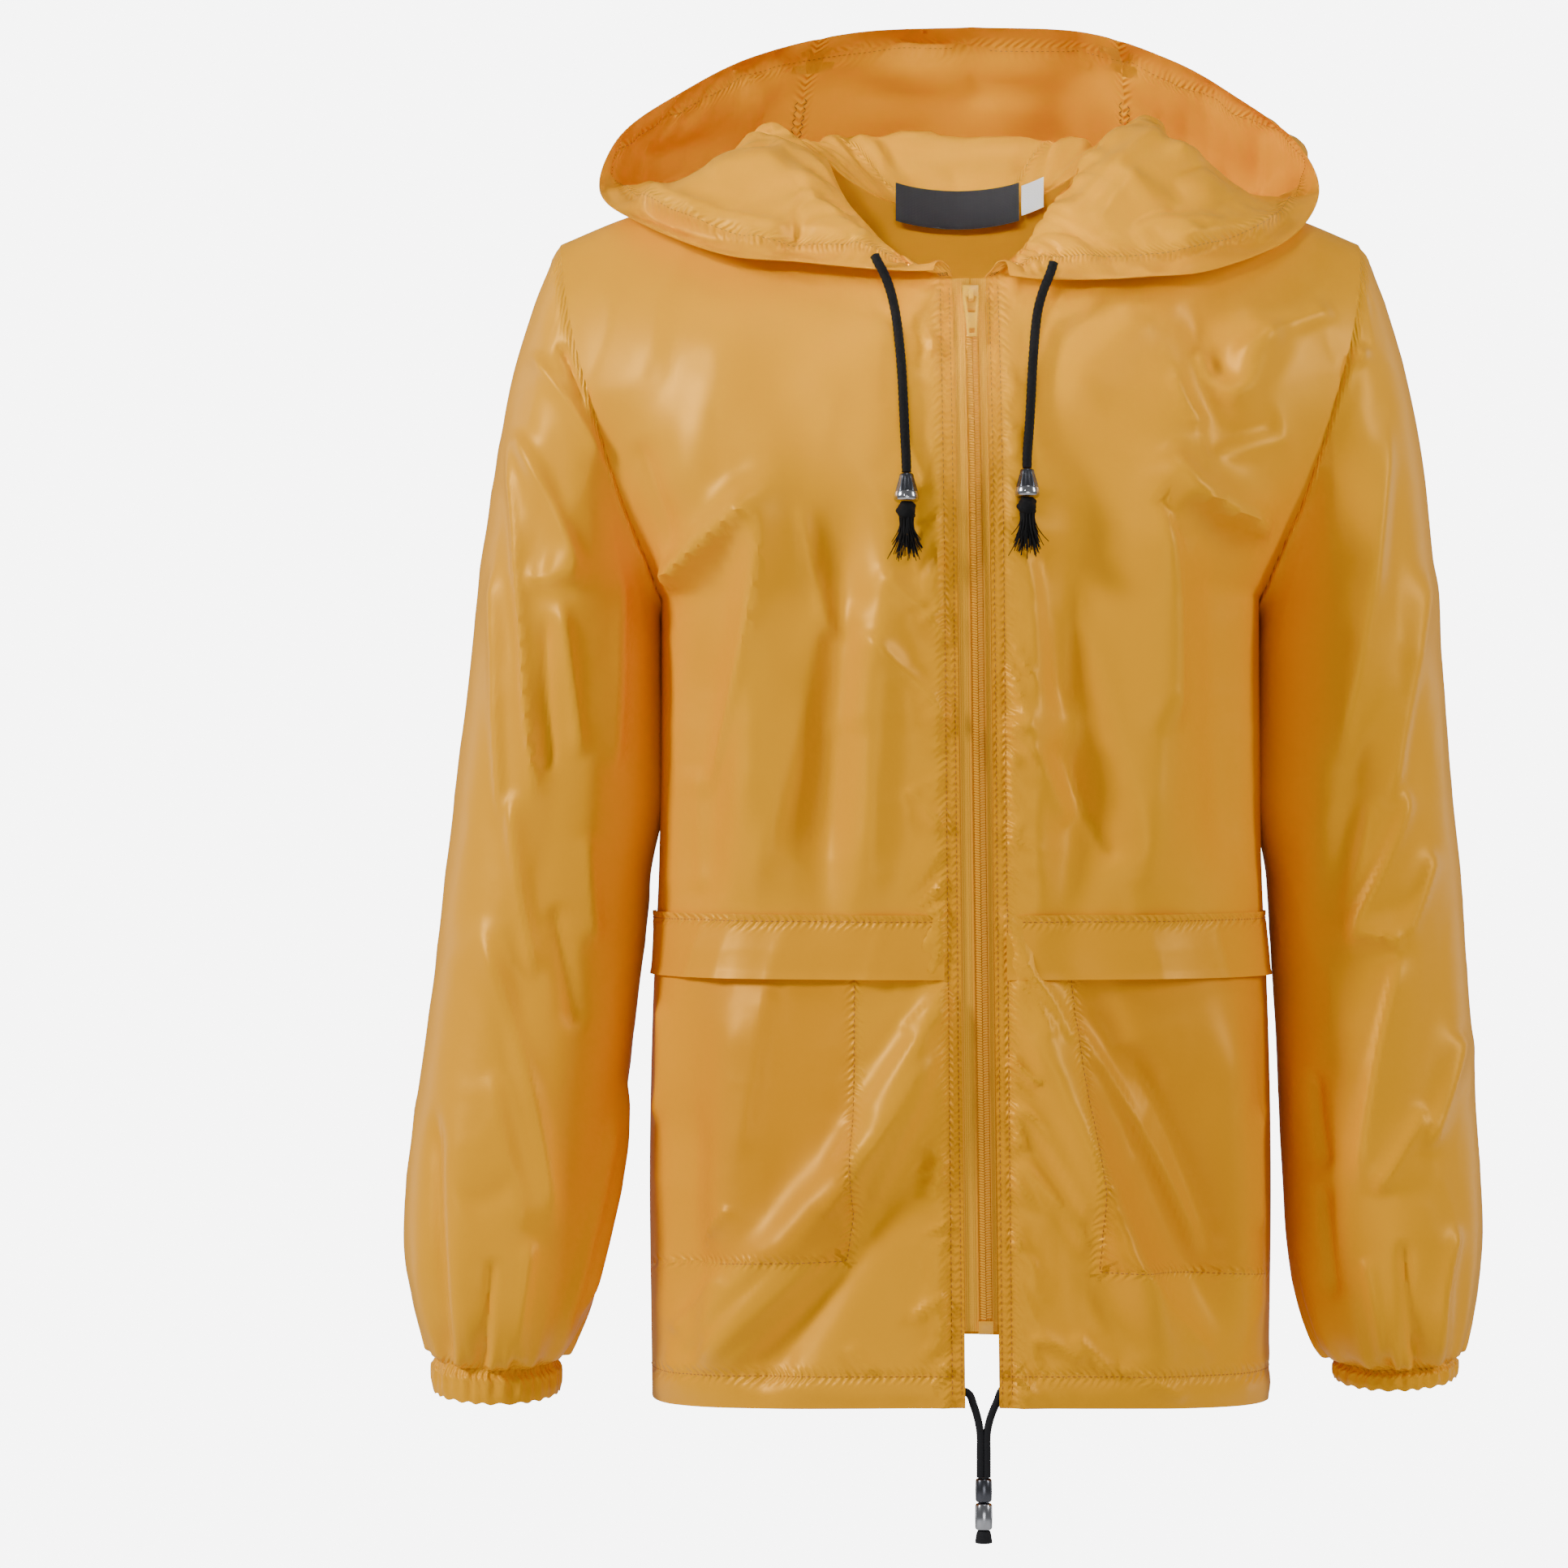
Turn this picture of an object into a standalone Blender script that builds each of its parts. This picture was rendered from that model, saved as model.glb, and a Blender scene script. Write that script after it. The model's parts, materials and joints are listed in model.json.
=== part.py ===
"""A light hooded raincoat with a zip, filled out as if worn, with nobody in it.

Metres, +Z up. The coat faces -Y and the wearer's left is +X, so "left" pieces lie at +X.
The origin lies midway between the two points where the shoulder seams meet the neck, which is where
a wearer's shoulders carry the coat. Tables and named sizes are in millimetres.

Every piece of cloth is a grid of points on its outer face, worked out from the tables, and a second
grid one wall thickness further in. Neighbouring pieces read the same seam curve, less a small gap.
"""

import math

import bmesh
import bpy
import numpy as np

MM = 0.001

# ---------------------------------------------------------------- driving sizes, mm
CLOTH = 1.2  # thickness of a cloth wall
SEAM_GAP = 0.36  # between two pieces that are sewn together
LAY_GAP = 0.35  # between a piece and the panel that it lies on

HEM_Z = -726.0
UNDERARM_Z = -265.0
SHOULDER_TIP = (236.0, -53.0)  # x and z of the seam's outer end
NECK_SIDE_X = 79.0  # where the shoulder seam meets the neck
NECK_FRONT_Z = -80.0
NECK_BACK_Z = -29.0
SEAM_Y = 6.0  # the shoulder and side seams lie just behind the middle
ARMHOLE_MIDDLE_Z = -160.0
ARMHOLE_PACE = 1.4  # how the armhole's points are shared out between underarm and shoulder
ROUNDNESS = 2.4  # exponent of the body's rounded-box section

ZIP_HALF_GAP = 9.7  # from the zip's middle to the edge of a front
ZIP_TOP_X, ZIP_BOTTOM_X = 3.4, 10.4  # the zip leans a little
ZIP_TOP_Z, ZIP_BOTTOM_Z = -86.0, -684.0

HEM_TOP_Z = -708.0  # top of the turned hem
FLAP_TOP_Z, FLAP_BOTTOM_Z = -447.0, -484.0
CUFF_HEIGHT = {1: 11.0, -1: 19.0}
HEM_DROP = 7.0  # how much lower the hem hangs at the sides than in front
BACK_RISE = 14.0  # how much higher it is in the middle of the back
GATHERS = 12  # pleats round each sleeve end, and twice as many ribs round its cuff
LABEL_SIZE = (74.0, 23.0)
CARE_LABEL_SIZE = (13.0, 18.0)

YELLOW = (0.95, 0.42, 0.035)
ZIP_YELLOW = (0.95, 0.50, 0.07)
BLACK = (0.012, 0.012, 0.014)
CHARCOAL = (0.045, 0.045, 0.05)
STEEL = (0.62, 0.62, 0.64)
WHITE = (0.8, 0.8, 0.78)

# ---------------------------------------------------------------- tables, mm
# The body under the arms: half width, and how far front and back lie from the seam plane.
BODY = {
    "z": (-726, -690, -600, -500, -420, -340, -265),
    "half": (182, 182.5, 183.5, 181.5, 178, 177, 176.5),
    "front": (134, 133, 130, 126, 124, 124, 124),
    "back": (124, 122, 118, 112, 110, 112, 114),
}
# Half width of the round figure above the underarm, which the armhole cuts.
FIGURE = {
    "z": (-265, -250, -235, -213, -160, -101, -53, 20),
    "half": (176.5, 184.5, 193, 207, 240, 268, 280, 290),
}
ARMHOLE = {
    "z": (-265, -250, -235, -213, -160, -101, -75, -53),
    "x": (176.5, 181.5, 187, 196, 213, 229, 233.5, 236),
}
# Top of the figure over each x: the neck's root, then the shoulder line.
SHOULDER = {
    "x": (0, 40, 79, 120, 160, 200, 236, 300),
    "z": (12, 8, -2, -13, -26, -38, -53, -80),
}
NECKLINE = {
    "x": (0, 10, 36, 56, 72, 79),
    "front": (-82, -80, -69, -48, -23, -2),
    "back": (-29, -28.6, -24.5, -17, -8, -2),
}
# Rings of each sleeve from armhole to cuff: outer and inner end of the ring, seen from the front.
SLEEVE_RIGHT = {
    "outer_x": (236, 250, 264, 274, 283, 290, 297, 304, 310.5, 319, 325.5, 327, 322, 315, 310),
    "outer_z": (-53, -86, -131, -185, -245, -310, -370, -430, -490, -550, -603, -643, -674, -696, -708),
    "inner_x": (176.5, 180, 181.5, 182, 182, 182, 183, 186, 192, 198.5, 204.5, 211, 218, 228, 236),
    "inner_z": (-265, -275, -289, -309, -335, -370, -410, -455, -505, -560, -610, -648, -677, -698, -709),
}
SLEEVE_LEFT = {
    "outer_x": (236, 250, 263.5, 273.5, 280, 285.5, 290, 295.5, 299.5, 302.5, 305.5, 306.5, 302, 296, 291),
    "outer_z": (-53, -86, -131, -185, -245, -310, -370, -430, -490, -545, -596, -637, -671, -696, -707),
    "inner_x": (176.5, 180, 181.5, 182, 182, 182, 182.3, 184.3, 187, 189, 191, 193, 199, 209, 220),
    "inner_z": (-265, -275, -289, -309, -335, -370, -410, -455, -505, -557, -602, -642, -675, -699, -710),
}
# The rest of each ring, the same on both arms: depth to the front and back, and the ring's middle.
SLEEVE_RING = {
    "front": (58, 62, 65, 67, 67, 66, 65, 64, 63, 63, 63, 62, 57, 46, 36),
    "back": (60, 65, 68, 69, 69, 68, 67, 66, 65, 64, 64, 62, 57, 46, 36),
    "middle_y": (6, 6, 6, 6, 6, 6, 5, 3, 0, -4, -8, -12, -15, -17, -18),
    "tilt": (0, 0, 0, 0, 0, 0, 0, 0, 0, 0, 2, 4, 5, 5, 5),
}
# The hood from neck seam to rim, for each half: "along" runs from the front edge to the middle of the
# back. It rises to a crest, falls inside to the bottom of the sack, and comes up to the rim; in front the
# same rows make a lapel that rolls out over the chest.
HOOD = {
    "along": (0.0, 0.12, 0.24, 0.34, 0.42, 0.50, 0.58, 0.70, 0.80, 0.90, 1.0),
    "inner": ((15, -82, -73), (44, -78, -62), (70, -70, -45), (98, -52, -16), (128, -21, 3), (140, 14, -2),
              (136, 56, -14), (112, 80, -36), (86, 92, -48), (55, 96, -54), (0, 98, -55)),
    "bottom": ((18, -85, -72), (48, -84, -66), (82, -77, -55), (117, -64, -37), (152, -33, -15), (166, 16, -16),
               (160, 84, -44), (130, 118, -94), (98, 136, -122), (60, 146, -134), (0, 148, -138)),
    "belly": ((20.5, -88, -74), (50, -88, -72), (90, -82, -65), (132, -72, -55), (172, -40, -35), (192, 14, -18),
              (197, 72, -12), (176, 124, -14), (140, 162, -16), (84, 182, -18), (0, 188, -20)),
}
HOOD_RIGHT = HOOD | {
    "crest": ((12, -79, -76), (39, -74, -63), (62, -61, -48), (80, -38, -22), (98, -11, 4), (113, 12, 17),
              (112, 40, 22), (98, 62, 20), (82, 76, 20), (52, 85, 23), (0, 88, 25)),
    "rim": ((22, -90, -78), (51, -90, -77), (97, -85, -72), (143, -75, -66), (188, -40, -45), (213, 6, -22),
            (206, 44, 12), (168, 84, 49), (128, 104, 73), (70, 117, 89), (0, 122, 93)),
}
HOOD_LEFT = HOOD | {
    "crest": ((12, -79, -77), (34, -73, -58), (50, -57, -34), (70, -37, -5), (90, -12, 15), (106, 13, 26),
              (110, 40, 24), (98, 62, 20), (82, 76, 20), (52, 85, 23), (0, 88, 25)),
    "rim": ((22, -90, -81), (54, -90, -83), (100, -86, -81), (146, -76, -75), (191, -42, -54), (213, 6, -22),
            (205, 44, 9), (163, 84, 47), (125, 104, 70), (70, 117, 89), (0, 122, 93)),
}
HOOD_ROWS = ("crest", "inner", "bottom", "belly", "rim")
HOOD_ROW_AT = (0.0, 0.15, 0.33, 0.52, 0.78, 1.0)
CENTRE_PANEL_FROM = 0.865  # "along" of the seam between side and centre panels
# Soft folds: from (x, z) to (x, z) as seen from in front, half width, and height, a trough if below 0.
FRONT_RIGHT_FOLDS = (
    (-112, -195, -122, -400, 15, 9),
    (-116, -205, -172, -258, 13, 8),
    (-128, -105, -160, -215, 24, 6),
    (-150, -300, -156, -440, 15, -7),
    (-72, -215, -84, -430, 16, -7),
    (-46, -250, -58, -430, 13, 6),
    (-38, -110, -90, -150, 18, 4),
    (-20, -510, -66, -590, 10, 6.5),
    (-26, -548, -162, -704, 15, 10),
    (-50, -610, -120, -715, 13, -6),
    (-128, -500, -136, -640, 20, 6),
    (-160, -560, -158, -700, 14, -6),
)
FRONT_LEFT_FOLDS = (
    (110, -190, 168, -222, 13, 8.5),
    (112, -195, 106, -420, 17, 8),
    (135, -95, 150, -165, 14, -7),
    (176, -110, 150, -160, 13, 7),
    (100, -100, 60, -150, 18, 5),
    (148, -240, 154, -420, 17, -7),
    (66, -200, 58, -430, 17, -6),
    (38, -250, 42, -440, 13, 5),
    (35, -500, 108, -690, 14, 9),
    (66, -495, 146, -680, 14, -7),
    (60, -560, 110, -690, 10, 5),
    (150, -510, 158, -690, 16, 7),
)
BACK_FOLDS = (
    (-95, -170, -120, -420, 17, 9),
    (88, -165, 122, -430, 17, 9),
    (-20, -190, -30, -560, 20, -7),
    (45, -260, 30, -600, 16, 7),
    (-150, -200, -125, -330, 14, -7),
    (150, -200, 128, -330, 14, -7),
    (-70, -430, -110, -690, 14, 8),
    (105, -450, 70, -690, 14, 7),
    (0, -560, -10, -710, 16, 7),
    (150, -480, 160, -690, 16, -7),
    (-150, -400, -160, -600, 16, 6),
)
SLEEVE_RIGHT_FOLDS = (
    (-258, -150, -272, -420, 10, 7),
    (-236, -175, -252, -300, 11, 7),
    (-218, -250, -240, -245, 9, -7),
    (-232, -330, -262, -520, 12, 7),
    (-210, -300, -222, -480, 11, -6),
    (-262, -490, -250, -610, 13, 7),
    (-296, -560, -288, -700, 12, -6),
)
SLEEVE_LEFT_FOLDS = (
    (245, -150, 262, -380, 11, 7),
    (232, -330, 218, -450, 10, 7),
    (214, -455, 262, -465, 9, -7),
    (284, -440, 262, -600, 12, 7),
    (232, -500, 224, -620, 12, -6),
    (212, -290, 206, -430, 11, -6),
    (290, -560, 282, -680, 12, 6),
)
SLEEVE_BACK_FOLDS = (
    (225, -150, 238, -330, 13, 7),
    (262, -190, 270, -420, 12, 7),
    (215, -380, 265, -400, 10, -7),
    (240, -430, 255, -600, 13, 7),
    (285, -470, 290, -650, 12, -6),
)

# Routes of the cords' middles, by hand: x, y, z.
CORD_RADIUS = 2.75
CORD_ROUTES = {
    "cord_right": ((-52, -91.8, -69.5), (-50.2, -93.2, -73.5), (-47.5, -94.6, -78.5), (-45.3, -94.8, -83.5),
                   (-43, -94, -90), (-41, -93.6, -98), (-39.3, -94.6, -108), (-38.2, -97.2, -118),
                   (-37.2, -100.3, -129), (-36.3, -104.4, -145), (-35.6, -108.6, -162), (-35, -113.2, -177),
                   (-34.6, -118, -187), (-34.5, -120.3, -192.5), (-34.5, -120.7, -195.5)),
    "cord_left": ((50.5, -92.8, -73.5), (49.2, -93.6, -78), (47.3, -94.6, -83), (45.2, -94.8, -88),
                  (43.2, -94, -94), (41.5, -93.6, -101), (40.2, -95, -110), (39, -98.6, -122),
                  (38, -102.2, -134), (37, -106.6, -150), (36, -110.6, -165), (35, -114.5, -177),
                  (34.2, -118.3, -185.5), (34, -119.9, -190), (34, -120.3, -193)),
}
TASSEL_WAY = (0, -0.12, -1)
HEM_CORD_RADIUS = 1.7
HEM_CORD_ROUTES = {
    "hem_cord_right": ((-4, -124.4, -716), (0.5, -124.4, -718), (3.6, -124.4, -725), (6, -124.4, -733),
                       (7.3, -124.4, -741), (7.35, -124.4, -752), (7.35, -124.4, -765.6)),
    "hem_cord_left": ((24.5, -124.4, -713), (20.5, -124.4, -715), (16.6, -124.4, -723), (13, -124.4, -732),
                      (11.1, -124.4, -741), (11.05, -124.4, -752), (11.05, -124.4, -765.6)),
}
HEM_BEADS_TOP = (9.2, -124.4, -766.0)
SLIDER_Z = -94.0
PULL_LENGTH = 27.0


# ---------------------------------------------------------------- reading tables
def through(keys, rows, at):
    """A smooth curve through the rows of a table, read at one or many places between its keys."""
    keys = np.asarray(keys, float)
    rows = np.asarray(rows, float)
    at = np.clip(np.asarray(at, float), keys[0], keys[-1])
    slopes = np.gradient(rows, keys, axis=0)
    i = np.clip(np.searchsorted(keys, at, side="right") - 1, 0, len(keys) - 2)
    span = keys[i + 1] - keys[i]
    t = (at - keys[i]) / span
    if rows.ndim > 1:
        t, span = t[..., None], span[..., None]
    t2, t3 = t * t, t * t * t
    return (
        (2 * t3 - 3 * t2 + 1) * rows[i]
        + (t3 - 2 * t2 + t) * span * slopes[i]
        + (3 * t2 - 2 * t3) * rows[i + 1]
        + (t3 - t2) * span * slopes[i + 1]
    )


def column(table, key, name, at):
    return through(table[key], table[name], at)


def ease(t):
    t = np.clip(t, 0, 1)
    return t * t * (3 - 2 * t)


def fold_height(folds, x, z):
    """How far the cloth is lifted at (x, z) by a table of folds."""
    lift = np.zeros(np.shape(x))
    for x0, z0, x1, z1, width, height in folds:
        dx, dz = x1 - x0, z1 - z0
        length = math.hypot(dx, dz)
        along = ((x - x0) * dx + (z - z0) * dz) / length**2
        across = ((x - x0) * dz - (z - z0) * dx) / length
        beyond = np.maximum(np.abs(along - 0.5) - 0.32, 0) / 0.22
        lift += height * np.exp(-((across / width) ** 2) - beyond**2)
    return lift


# ---------------------------------------------------------------- the figure that the coat hangs on
def zip_x(z):
    """x of the zip's middle at height z."""
    share = (ZIP_TOP_Z - z) / (ZIP_TOP_Z - ZIP_BOTTOM_Z)
    return ZIP_TOP_X + (ZIP_BOTTOM_X - ZIP_TOP_X) * share


def lean(side, x, z):
    """World x of a point that is x out from the middle: near the zip the cloth follows its lean."""
    return side * x + zip_x(z) * np.clip(1 - x / NECK_SIDE_X, 0, 1) ** 2


def rounded(share):
    """Section of a rounded box: 1 in the middle, 0 at the side."""
    return np.clip(1 - np.clip(share, 0, 1) ** ROUNDNESS, 0, 1) ** (1 / ROUNDNESS)


def figure_y(x, z, face):
    """y of the coat's outer face at x, z: face is -1 in front and 1 behind."""
    x, z = np.broadcast_arrays(np.abs(np.asarray(x, float)), np.asarray(z, float))
    body_z = np.minimum(z, UNDERARM_Z)
    half = np.where(z < UNDERARM_Z, column(BODY, "z", "half", body_z), column(FIGURE, "z", "half", z))
    depth = column(BODY, "z", "front" if face < 0 else "back", body_z)
    top = column(SHOULDER, "x", "z", x)
    rise = np.clip((z - UNDERARM_Z) / (top - UNDERARM_Z), 0, 1)
    close = np.sqrt(1 - rise**2) ** (1.5 - 0.4 * x / SHOULDER_TIP[0])
    return SEAM_Y + face * depth * rounded(x / half) * close


def armhole(face, t):
    """A point of the armhole's front (face -1) or back half, from underarm at t = 0 to shoulder at t = 1."""
    if t <= 0:
        return np.array([ARMHOLE["x"][0], SEAM_Y, UNDERARM_Z])
    if t >= 1:
        return np.array([SHOULDER_TIP[0], SEAM_Y, SHOULDER_TIP[1]])
    z = UNDERARM_Z + (SHOULDER_TIP[1] - UNDERARM_Z) * math.sin(math.pi / 2 * t) ** ARMHOLE_PACE
    x = float(column(ARMHOLE, "z", "x", z))
    return np.array([x, float(figure_y(x, z, face)), z])


def spaced(line, shares):
    """Points at the given shares of a line's length."""
    step = np.linalg.norm(np.diff(line, axis=0), axis=1)
    at = np.concatenate([[0], np.cumsum(step)]) / step.sum()
    return np.stack([np.interp(shares, at, line[:, i]) for i in range(line.shape[1])], axis=1)


def neckline(face, shares):
    """Points of half the neckline in front or behind, from its middle to the shoulder seam."""
    x = np.linspace(ZIP_HALF_GAP if face < 0 else 0, NECK_SIDE_X, 200)
    z = column(NECKLINE, "x", "front" if face < 0 else "back", x)
    return spaced(np.stack([x, figure_y(x, z, face), z], axis=1), shares)


# ---------------------------------------------------------------- grids
# Columns of a front run from the zip out to the side: shares of the neckline, then of the shoulder seam.
NECK_SHARES = {-1: (0, 0.1, 0.27, 0.45, 0.63, 0.82, 1), 1: (0, 0.27, 0.41, 0.54, 0.69, 0.85, 1)}
SHOULDER_COLUMNS = 7
LOW_SHARES = {
    -1: (0, 0.05, 0.12, 0.2, 0.28, 0.36, 0.44, 0.52, 0.6, 0.68, 0.76, 0.84, 0.92, 1),
    1: tuple(i / 13 for i in range(14)),
}
LOW_ROWS = (-726, -708, -684, -654, -620, -586, -552, -518, -484, -466, -447, -420, -390, -360, -328, -296, -265)
ARMHOLE_ROWS = 9
FLAP_ROWS = slice(LOW_ROWS.index(FLAP_BOTTOM_Z), LOW_ROWS.index(FLAP_TOP_Z) + 1)


def half_panel(face):
    """Half of the front or back as (rows, columns, xyz), from the hem up and from the middle out."""
    inner = ZIP_HALF_GAP if face < 0 else 0.0
    name = "front" if face < 0 else "back"
    shares = LOW_SHARES[face]
    rows = []
    for z in LOW_ROWS:
        half, depth = column(BODY, "z", "half", z), column(BODY, "z", name, z)
        x = half * np.sin(np.linspace(math.asin((inner / half) ** (ROUNDNESS / 2)), math.pi / 2, 400)) ** (2 / ROUNDNESS)
        y = SEAM_Y + face * depth * rounded(x / half)
        row = spaced(np.stack([x, y, np.full_like(x, z)], axis=1), shares)
        low = np.clip((z + 600) / (HEM_Z + 600), 0, 1)
        row[:, 2] -= low * HEM_DROP * (row[:, 0] / half) ** 2
        if face > 0:
            row[:, 2] += low * BACK_RISE * (1 - (row[:, 0] / half) ** 2)
        rows.append(row)
    neck = neckline(face, NECK_SHARES[face])
    shoulder_x = np.linspace(NECK_SIDE_X, SHOULDER_TIP[0], SHOULDER_COLUMNS + 1)[1:]
    top_x = np.concatenate([neck[:, 0], shoulder_x])
    top_z = np.concatenate([neck[:, 2], column(SHOULDER, "x", "z", shoulder_x)])
    crown = column(SHOULDER, "x", "z", top_x)
    turn = np.arcsin(np.clip((top_z - UNDERARM_Z) / (crown - UNDERARM_Z), 0, 1))
    turn[len(neck) - 1 :] = math.pi / 2
    low_spread = (rows[-1][:, 0] - inner) / (rows[-1][-1, 0] - inner)
    top_spread = (top_x - inner) / (top_x[-1] - inner)
    edge_pull = np.linspace(0, 1, len(top_x)) ** 5
    for i in range(1, ARMHOLE_ROWS + 1):
        t = i / ARMHOLE_ROWS
        edge = armhole(face, t)
        x = inner + (edge[0] - inner) * ((1 - ease(t)) * low_spread + ease(t) * top_spread)
        z = UNDERARM_Z + (top_z - UNDERARM_Z) * np.sin(t * turn) / np.sin(turn)
        y = figure_y(x, z, face)
        rows.append(np.stack([x, y + (edge[1] - y[-1]) * edge_pull, z + (edge[2] - z[-1]) * edge_pull], axis=1))
    return np.array(rows)


def grid_normals(grid, around=False):
    """Unit normals of a grid: columns run along the second axis and close up when around is set."""
    if around:
        wide = np.concatenate([grid[:, -1:], grid, grid[:, :1]], axis=1)
        across = (wide[:, 2:] - wide[:, :-2]) / 2
    else:
        across = np.gradient(grid, axis=1)
    up = np.gradient(grid, axis=0)
    normals = np.cross(across, up)
    return unit(normals)


def unit(v):
    return v / np.maximum(np.linalg.norm(v, axis=-1, keepdims=True), 1e-9)


def to_ring_middle(points):
    """Ways in at the armhole, which the panels and the sleeve share."""
    way = np.zeros_like(points)
    way[..., 1] = SEAM_Y - points[..., 1]
    way[..., 2] = ARMHOLE_MIDDLE_Z - points[..., 2]
    return unit(way)


def seamed(grid, inward, face, side):
    """The last column and the shoulder part of the top row set to what the neighbours share."""
    low = len(LOW_ROWS) - 1
    inward[:low, -1] = (-side, 0, 0)
    inward[low:, -1] = to_ring_middle(grid[low:, -1])
    inward[-1, len(NECK_SHARES[face]) - 1 :] = (0, 0, -1)
    grid[:low + 1, -1, 1] = SEAM_Y + face * SEAM_GAP / 2
    grid[-1, len(NECK_SHARES[face]) - 1 :, 1] = SEAM_Y + face * SEAM_GAP / 2
    return grid, inward


def edge_calm(x, z):
    """0 on the seams at shoulder, armhole and side, 1 a few centimetres away from them."""
    edge = np.where(
        z > UNDERARM_Z,
        column(ARMHOLE, "z", "x", np.clip(z, UNDERARM_Z, SHOULDER_TIP[1])),
        column(BODY, "z", "half", np.minimum(z, UNDERARM_Z)),
    )
    from_side = ease((edge - np.abs(x)) / 16)
    from_top = ease((column(SHOULDER, "x", "z", np.abs(x)) - z) / 40)
    return from_side * from_top


def hem_swell(z):
    """The turned hem stands a little fuller than the cloth above it."""
    return np.where(z < (HEM_TOP_Z + HEM_Z) / 2, 1.5, 0)


def front_surface(side):
    """Outer face of a front and the ways in from it, columns from the zip out to the side."""
    flat = half_panel(-1)
    flat[..., 0] = lean(side, flat[..., 0], flat[..., 2])
    outward = grid_normals(flat) * side
    x, z = flat[..., 0], flat[..., 2]
    calm = np.clip((np.abs(x - zip_x(z)) - ZIP_HALF_GAP) / 22, 0, 1) * edge_calm(x, z)
    height = fold_height(FRONT_LEFT_FOLDS if side > 0 else FRONT_RIGHT_FOLDS, x, z) * calm
    grid = flat + outward * (height + hem_swell(z) * edge_calm(x, z))[..., None]
    return seamed(grid, -grid_normals(grid) * side, -1, side)


def back_surface():
    """Outer face of the back and the ways in from it, columns from +X to -X."""
    halves = []
    for side in (1, -1):
        flat = half_panel(1) * np.array([side, 1, 1])
        x, z = flat[..., 0], flat[..., 2]
        outward = grid_normals(flat) * -side
        outward[:, 0, 0] = 0
        height = fold_height(BACK_FOLDS, x, z) + hem_swell(z)
        grid = flat + unit(outward) * (height * edge_calm(x, z))[..., None]
        inward = grid_normals(grid) * side
        inward[:, 0, 0] = 0
        halves.append(seamed(grid, unit(inward), 1, side))
    (left, left_in), (right, right_in) = halves
    return np.concatenate([left[:, ::-1], right[:, 1:]], axis=1), np.concatenate([left_in[:, ::-1], right_in[:, 1:]], axis=1)


# ---------------------------------------------------------------- grids into solids
def material(name, colour, roughness, metallic=0.0):
    made = bpy.data.materials.get(name)
    if made is None:
        made = bpy.data.materials.new(name)
        made.use_nodes = True
        shader = made.node_tree.nodes["Principled BSDF"]
        shader.inputs["Base Color"].default_value = (*colour, 1)
        shader.inputs["Roughness"].default_value = roughness
        shader.inputs["Metallic"].default_value = metallic
        made.diffuse_color = (*colour, 1)
    return made


def coat_cloth():
    return material("coat_cloth", YELLOW, 0.36)


def solid(name, points, faces, finish, pivot=(0, 0, 0)):
    """A closed mesh object from points in millimetres, with its own origin at the pivot."""
    mesh = bpy.data.meshes.new(name)
    mesh.from_pydata([tuple(p) for p in (np.asarray(points, float) - pivot) * MM], [], faces)
    work = bmesh.new()
    work.from_mesh(mesh)
    bmesh.ops.recalc_face_normals(work, faces=work.faces)
    work.to_mesh(mesh)
    work.free()
    mesh.materials.append(finish)
    mesh.shade_smooth()
    mesh.set_sharp_from_angle(angle=math.radians(50))
    made = bpy.data.objects.new(name, mesh)
    made.location = np.asarray(pivot, float) * MM
    bpy.context.scene.collection.objects.link(made)
    return made


def wall(name, outer, inward, finish, around=False, thickness=CLOTH):
    """A wall of cloth from the grid of its outer face and each point's way in."""
    inner = outer + inward * thickness
    rows, columns = outer.shape[:2]
    count = rows * columns
    points = np.concatenate([outer.reshape(-1, 3), inner.reshape(-1, 3)])
    faces = []
    last = columns if around else columns - 1
    for r in range(rows - 1):
        for c in range(last):
            a, b = r * columns + c, r * columns + (c + 1) % columns
            d, e = a + columns, b + columns
            faces += [(a, b, e, d), (a + count, d + count, e + count, b + count)]
    for r in (0, rows - 1):
        for c in range(last):
            a, b = r * columns + c, r * columns + (c + 1) % columns
            faces.append((a, a + count, b + count, b))
    if not around:
        for c in (0, columns - 1):
            for r in range(rows - 1):
                a, b = r * columns + c, (r + 1) * columns + c
                faces.append((a, b, b + count, a + count))
    return solid(name, points, faces, finish)


def lathe(name, middle, axis, profile, sides, finish, lobes=0, lobe_height=0.0, bottoms=None):
    """A turned solid: profile rows of (distance along the axis, radius), closed at both ends."""
    middle, axis = np.asarray(middle, float), unit(np.asarray(axis, float))
    first = unit(np.cross(axis, (0.0, 1.0, 0.0)))
    second = np.cross(axis, first)
    turn = np.arange(sides) * 2 * math.pi / sides
    points, faces = [], []
    for row, (at, radius) in enumerate(profile):
        for i, a in enumerate(turn):
            r = radius * (1 + (lobe_height * math.cos(lobes * a) if row > len(profile) // 2 else 0))
            along = at + (bottoms[i % len(bottoms)] if bottoms and row == len(profile) - 1 else 0)
            points.append(middle + axis * along + (first * math.cos(a) + second * math.sin(a)) * r)
    for row in range(len(profile) - 1):
        for i in range(sides):
            a, b = row * sides + i, row * sides + (i + 1) % sides
            faces.append((a, b, b + sides, a + sides))
    faces.append(tuple(range(sides)))
    last = (len(profile) - 1) * sides
    faces.append(tuple(last + i for i in reversed(range(sides))))
    return solid(name, points, faces, finish)


# ---------------------------------------------------------------- sleeves
SLEEVE_COLUMNS = 4 * ARMHOLE_ROWS
SLEEVE_ROWS = (0, 0.6, 1.3, 2.2, 3.2, 4.3, 5.5, 6.7, 7.9, 9.1, 10.3, 11.4, 12.4, 13.2, 14)
FRONT_OF_SLEEVE = {1: SLEEVE_LEFT_FOLDS, -1: SLEEVE_RIGHT_FOLDS}


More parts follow.
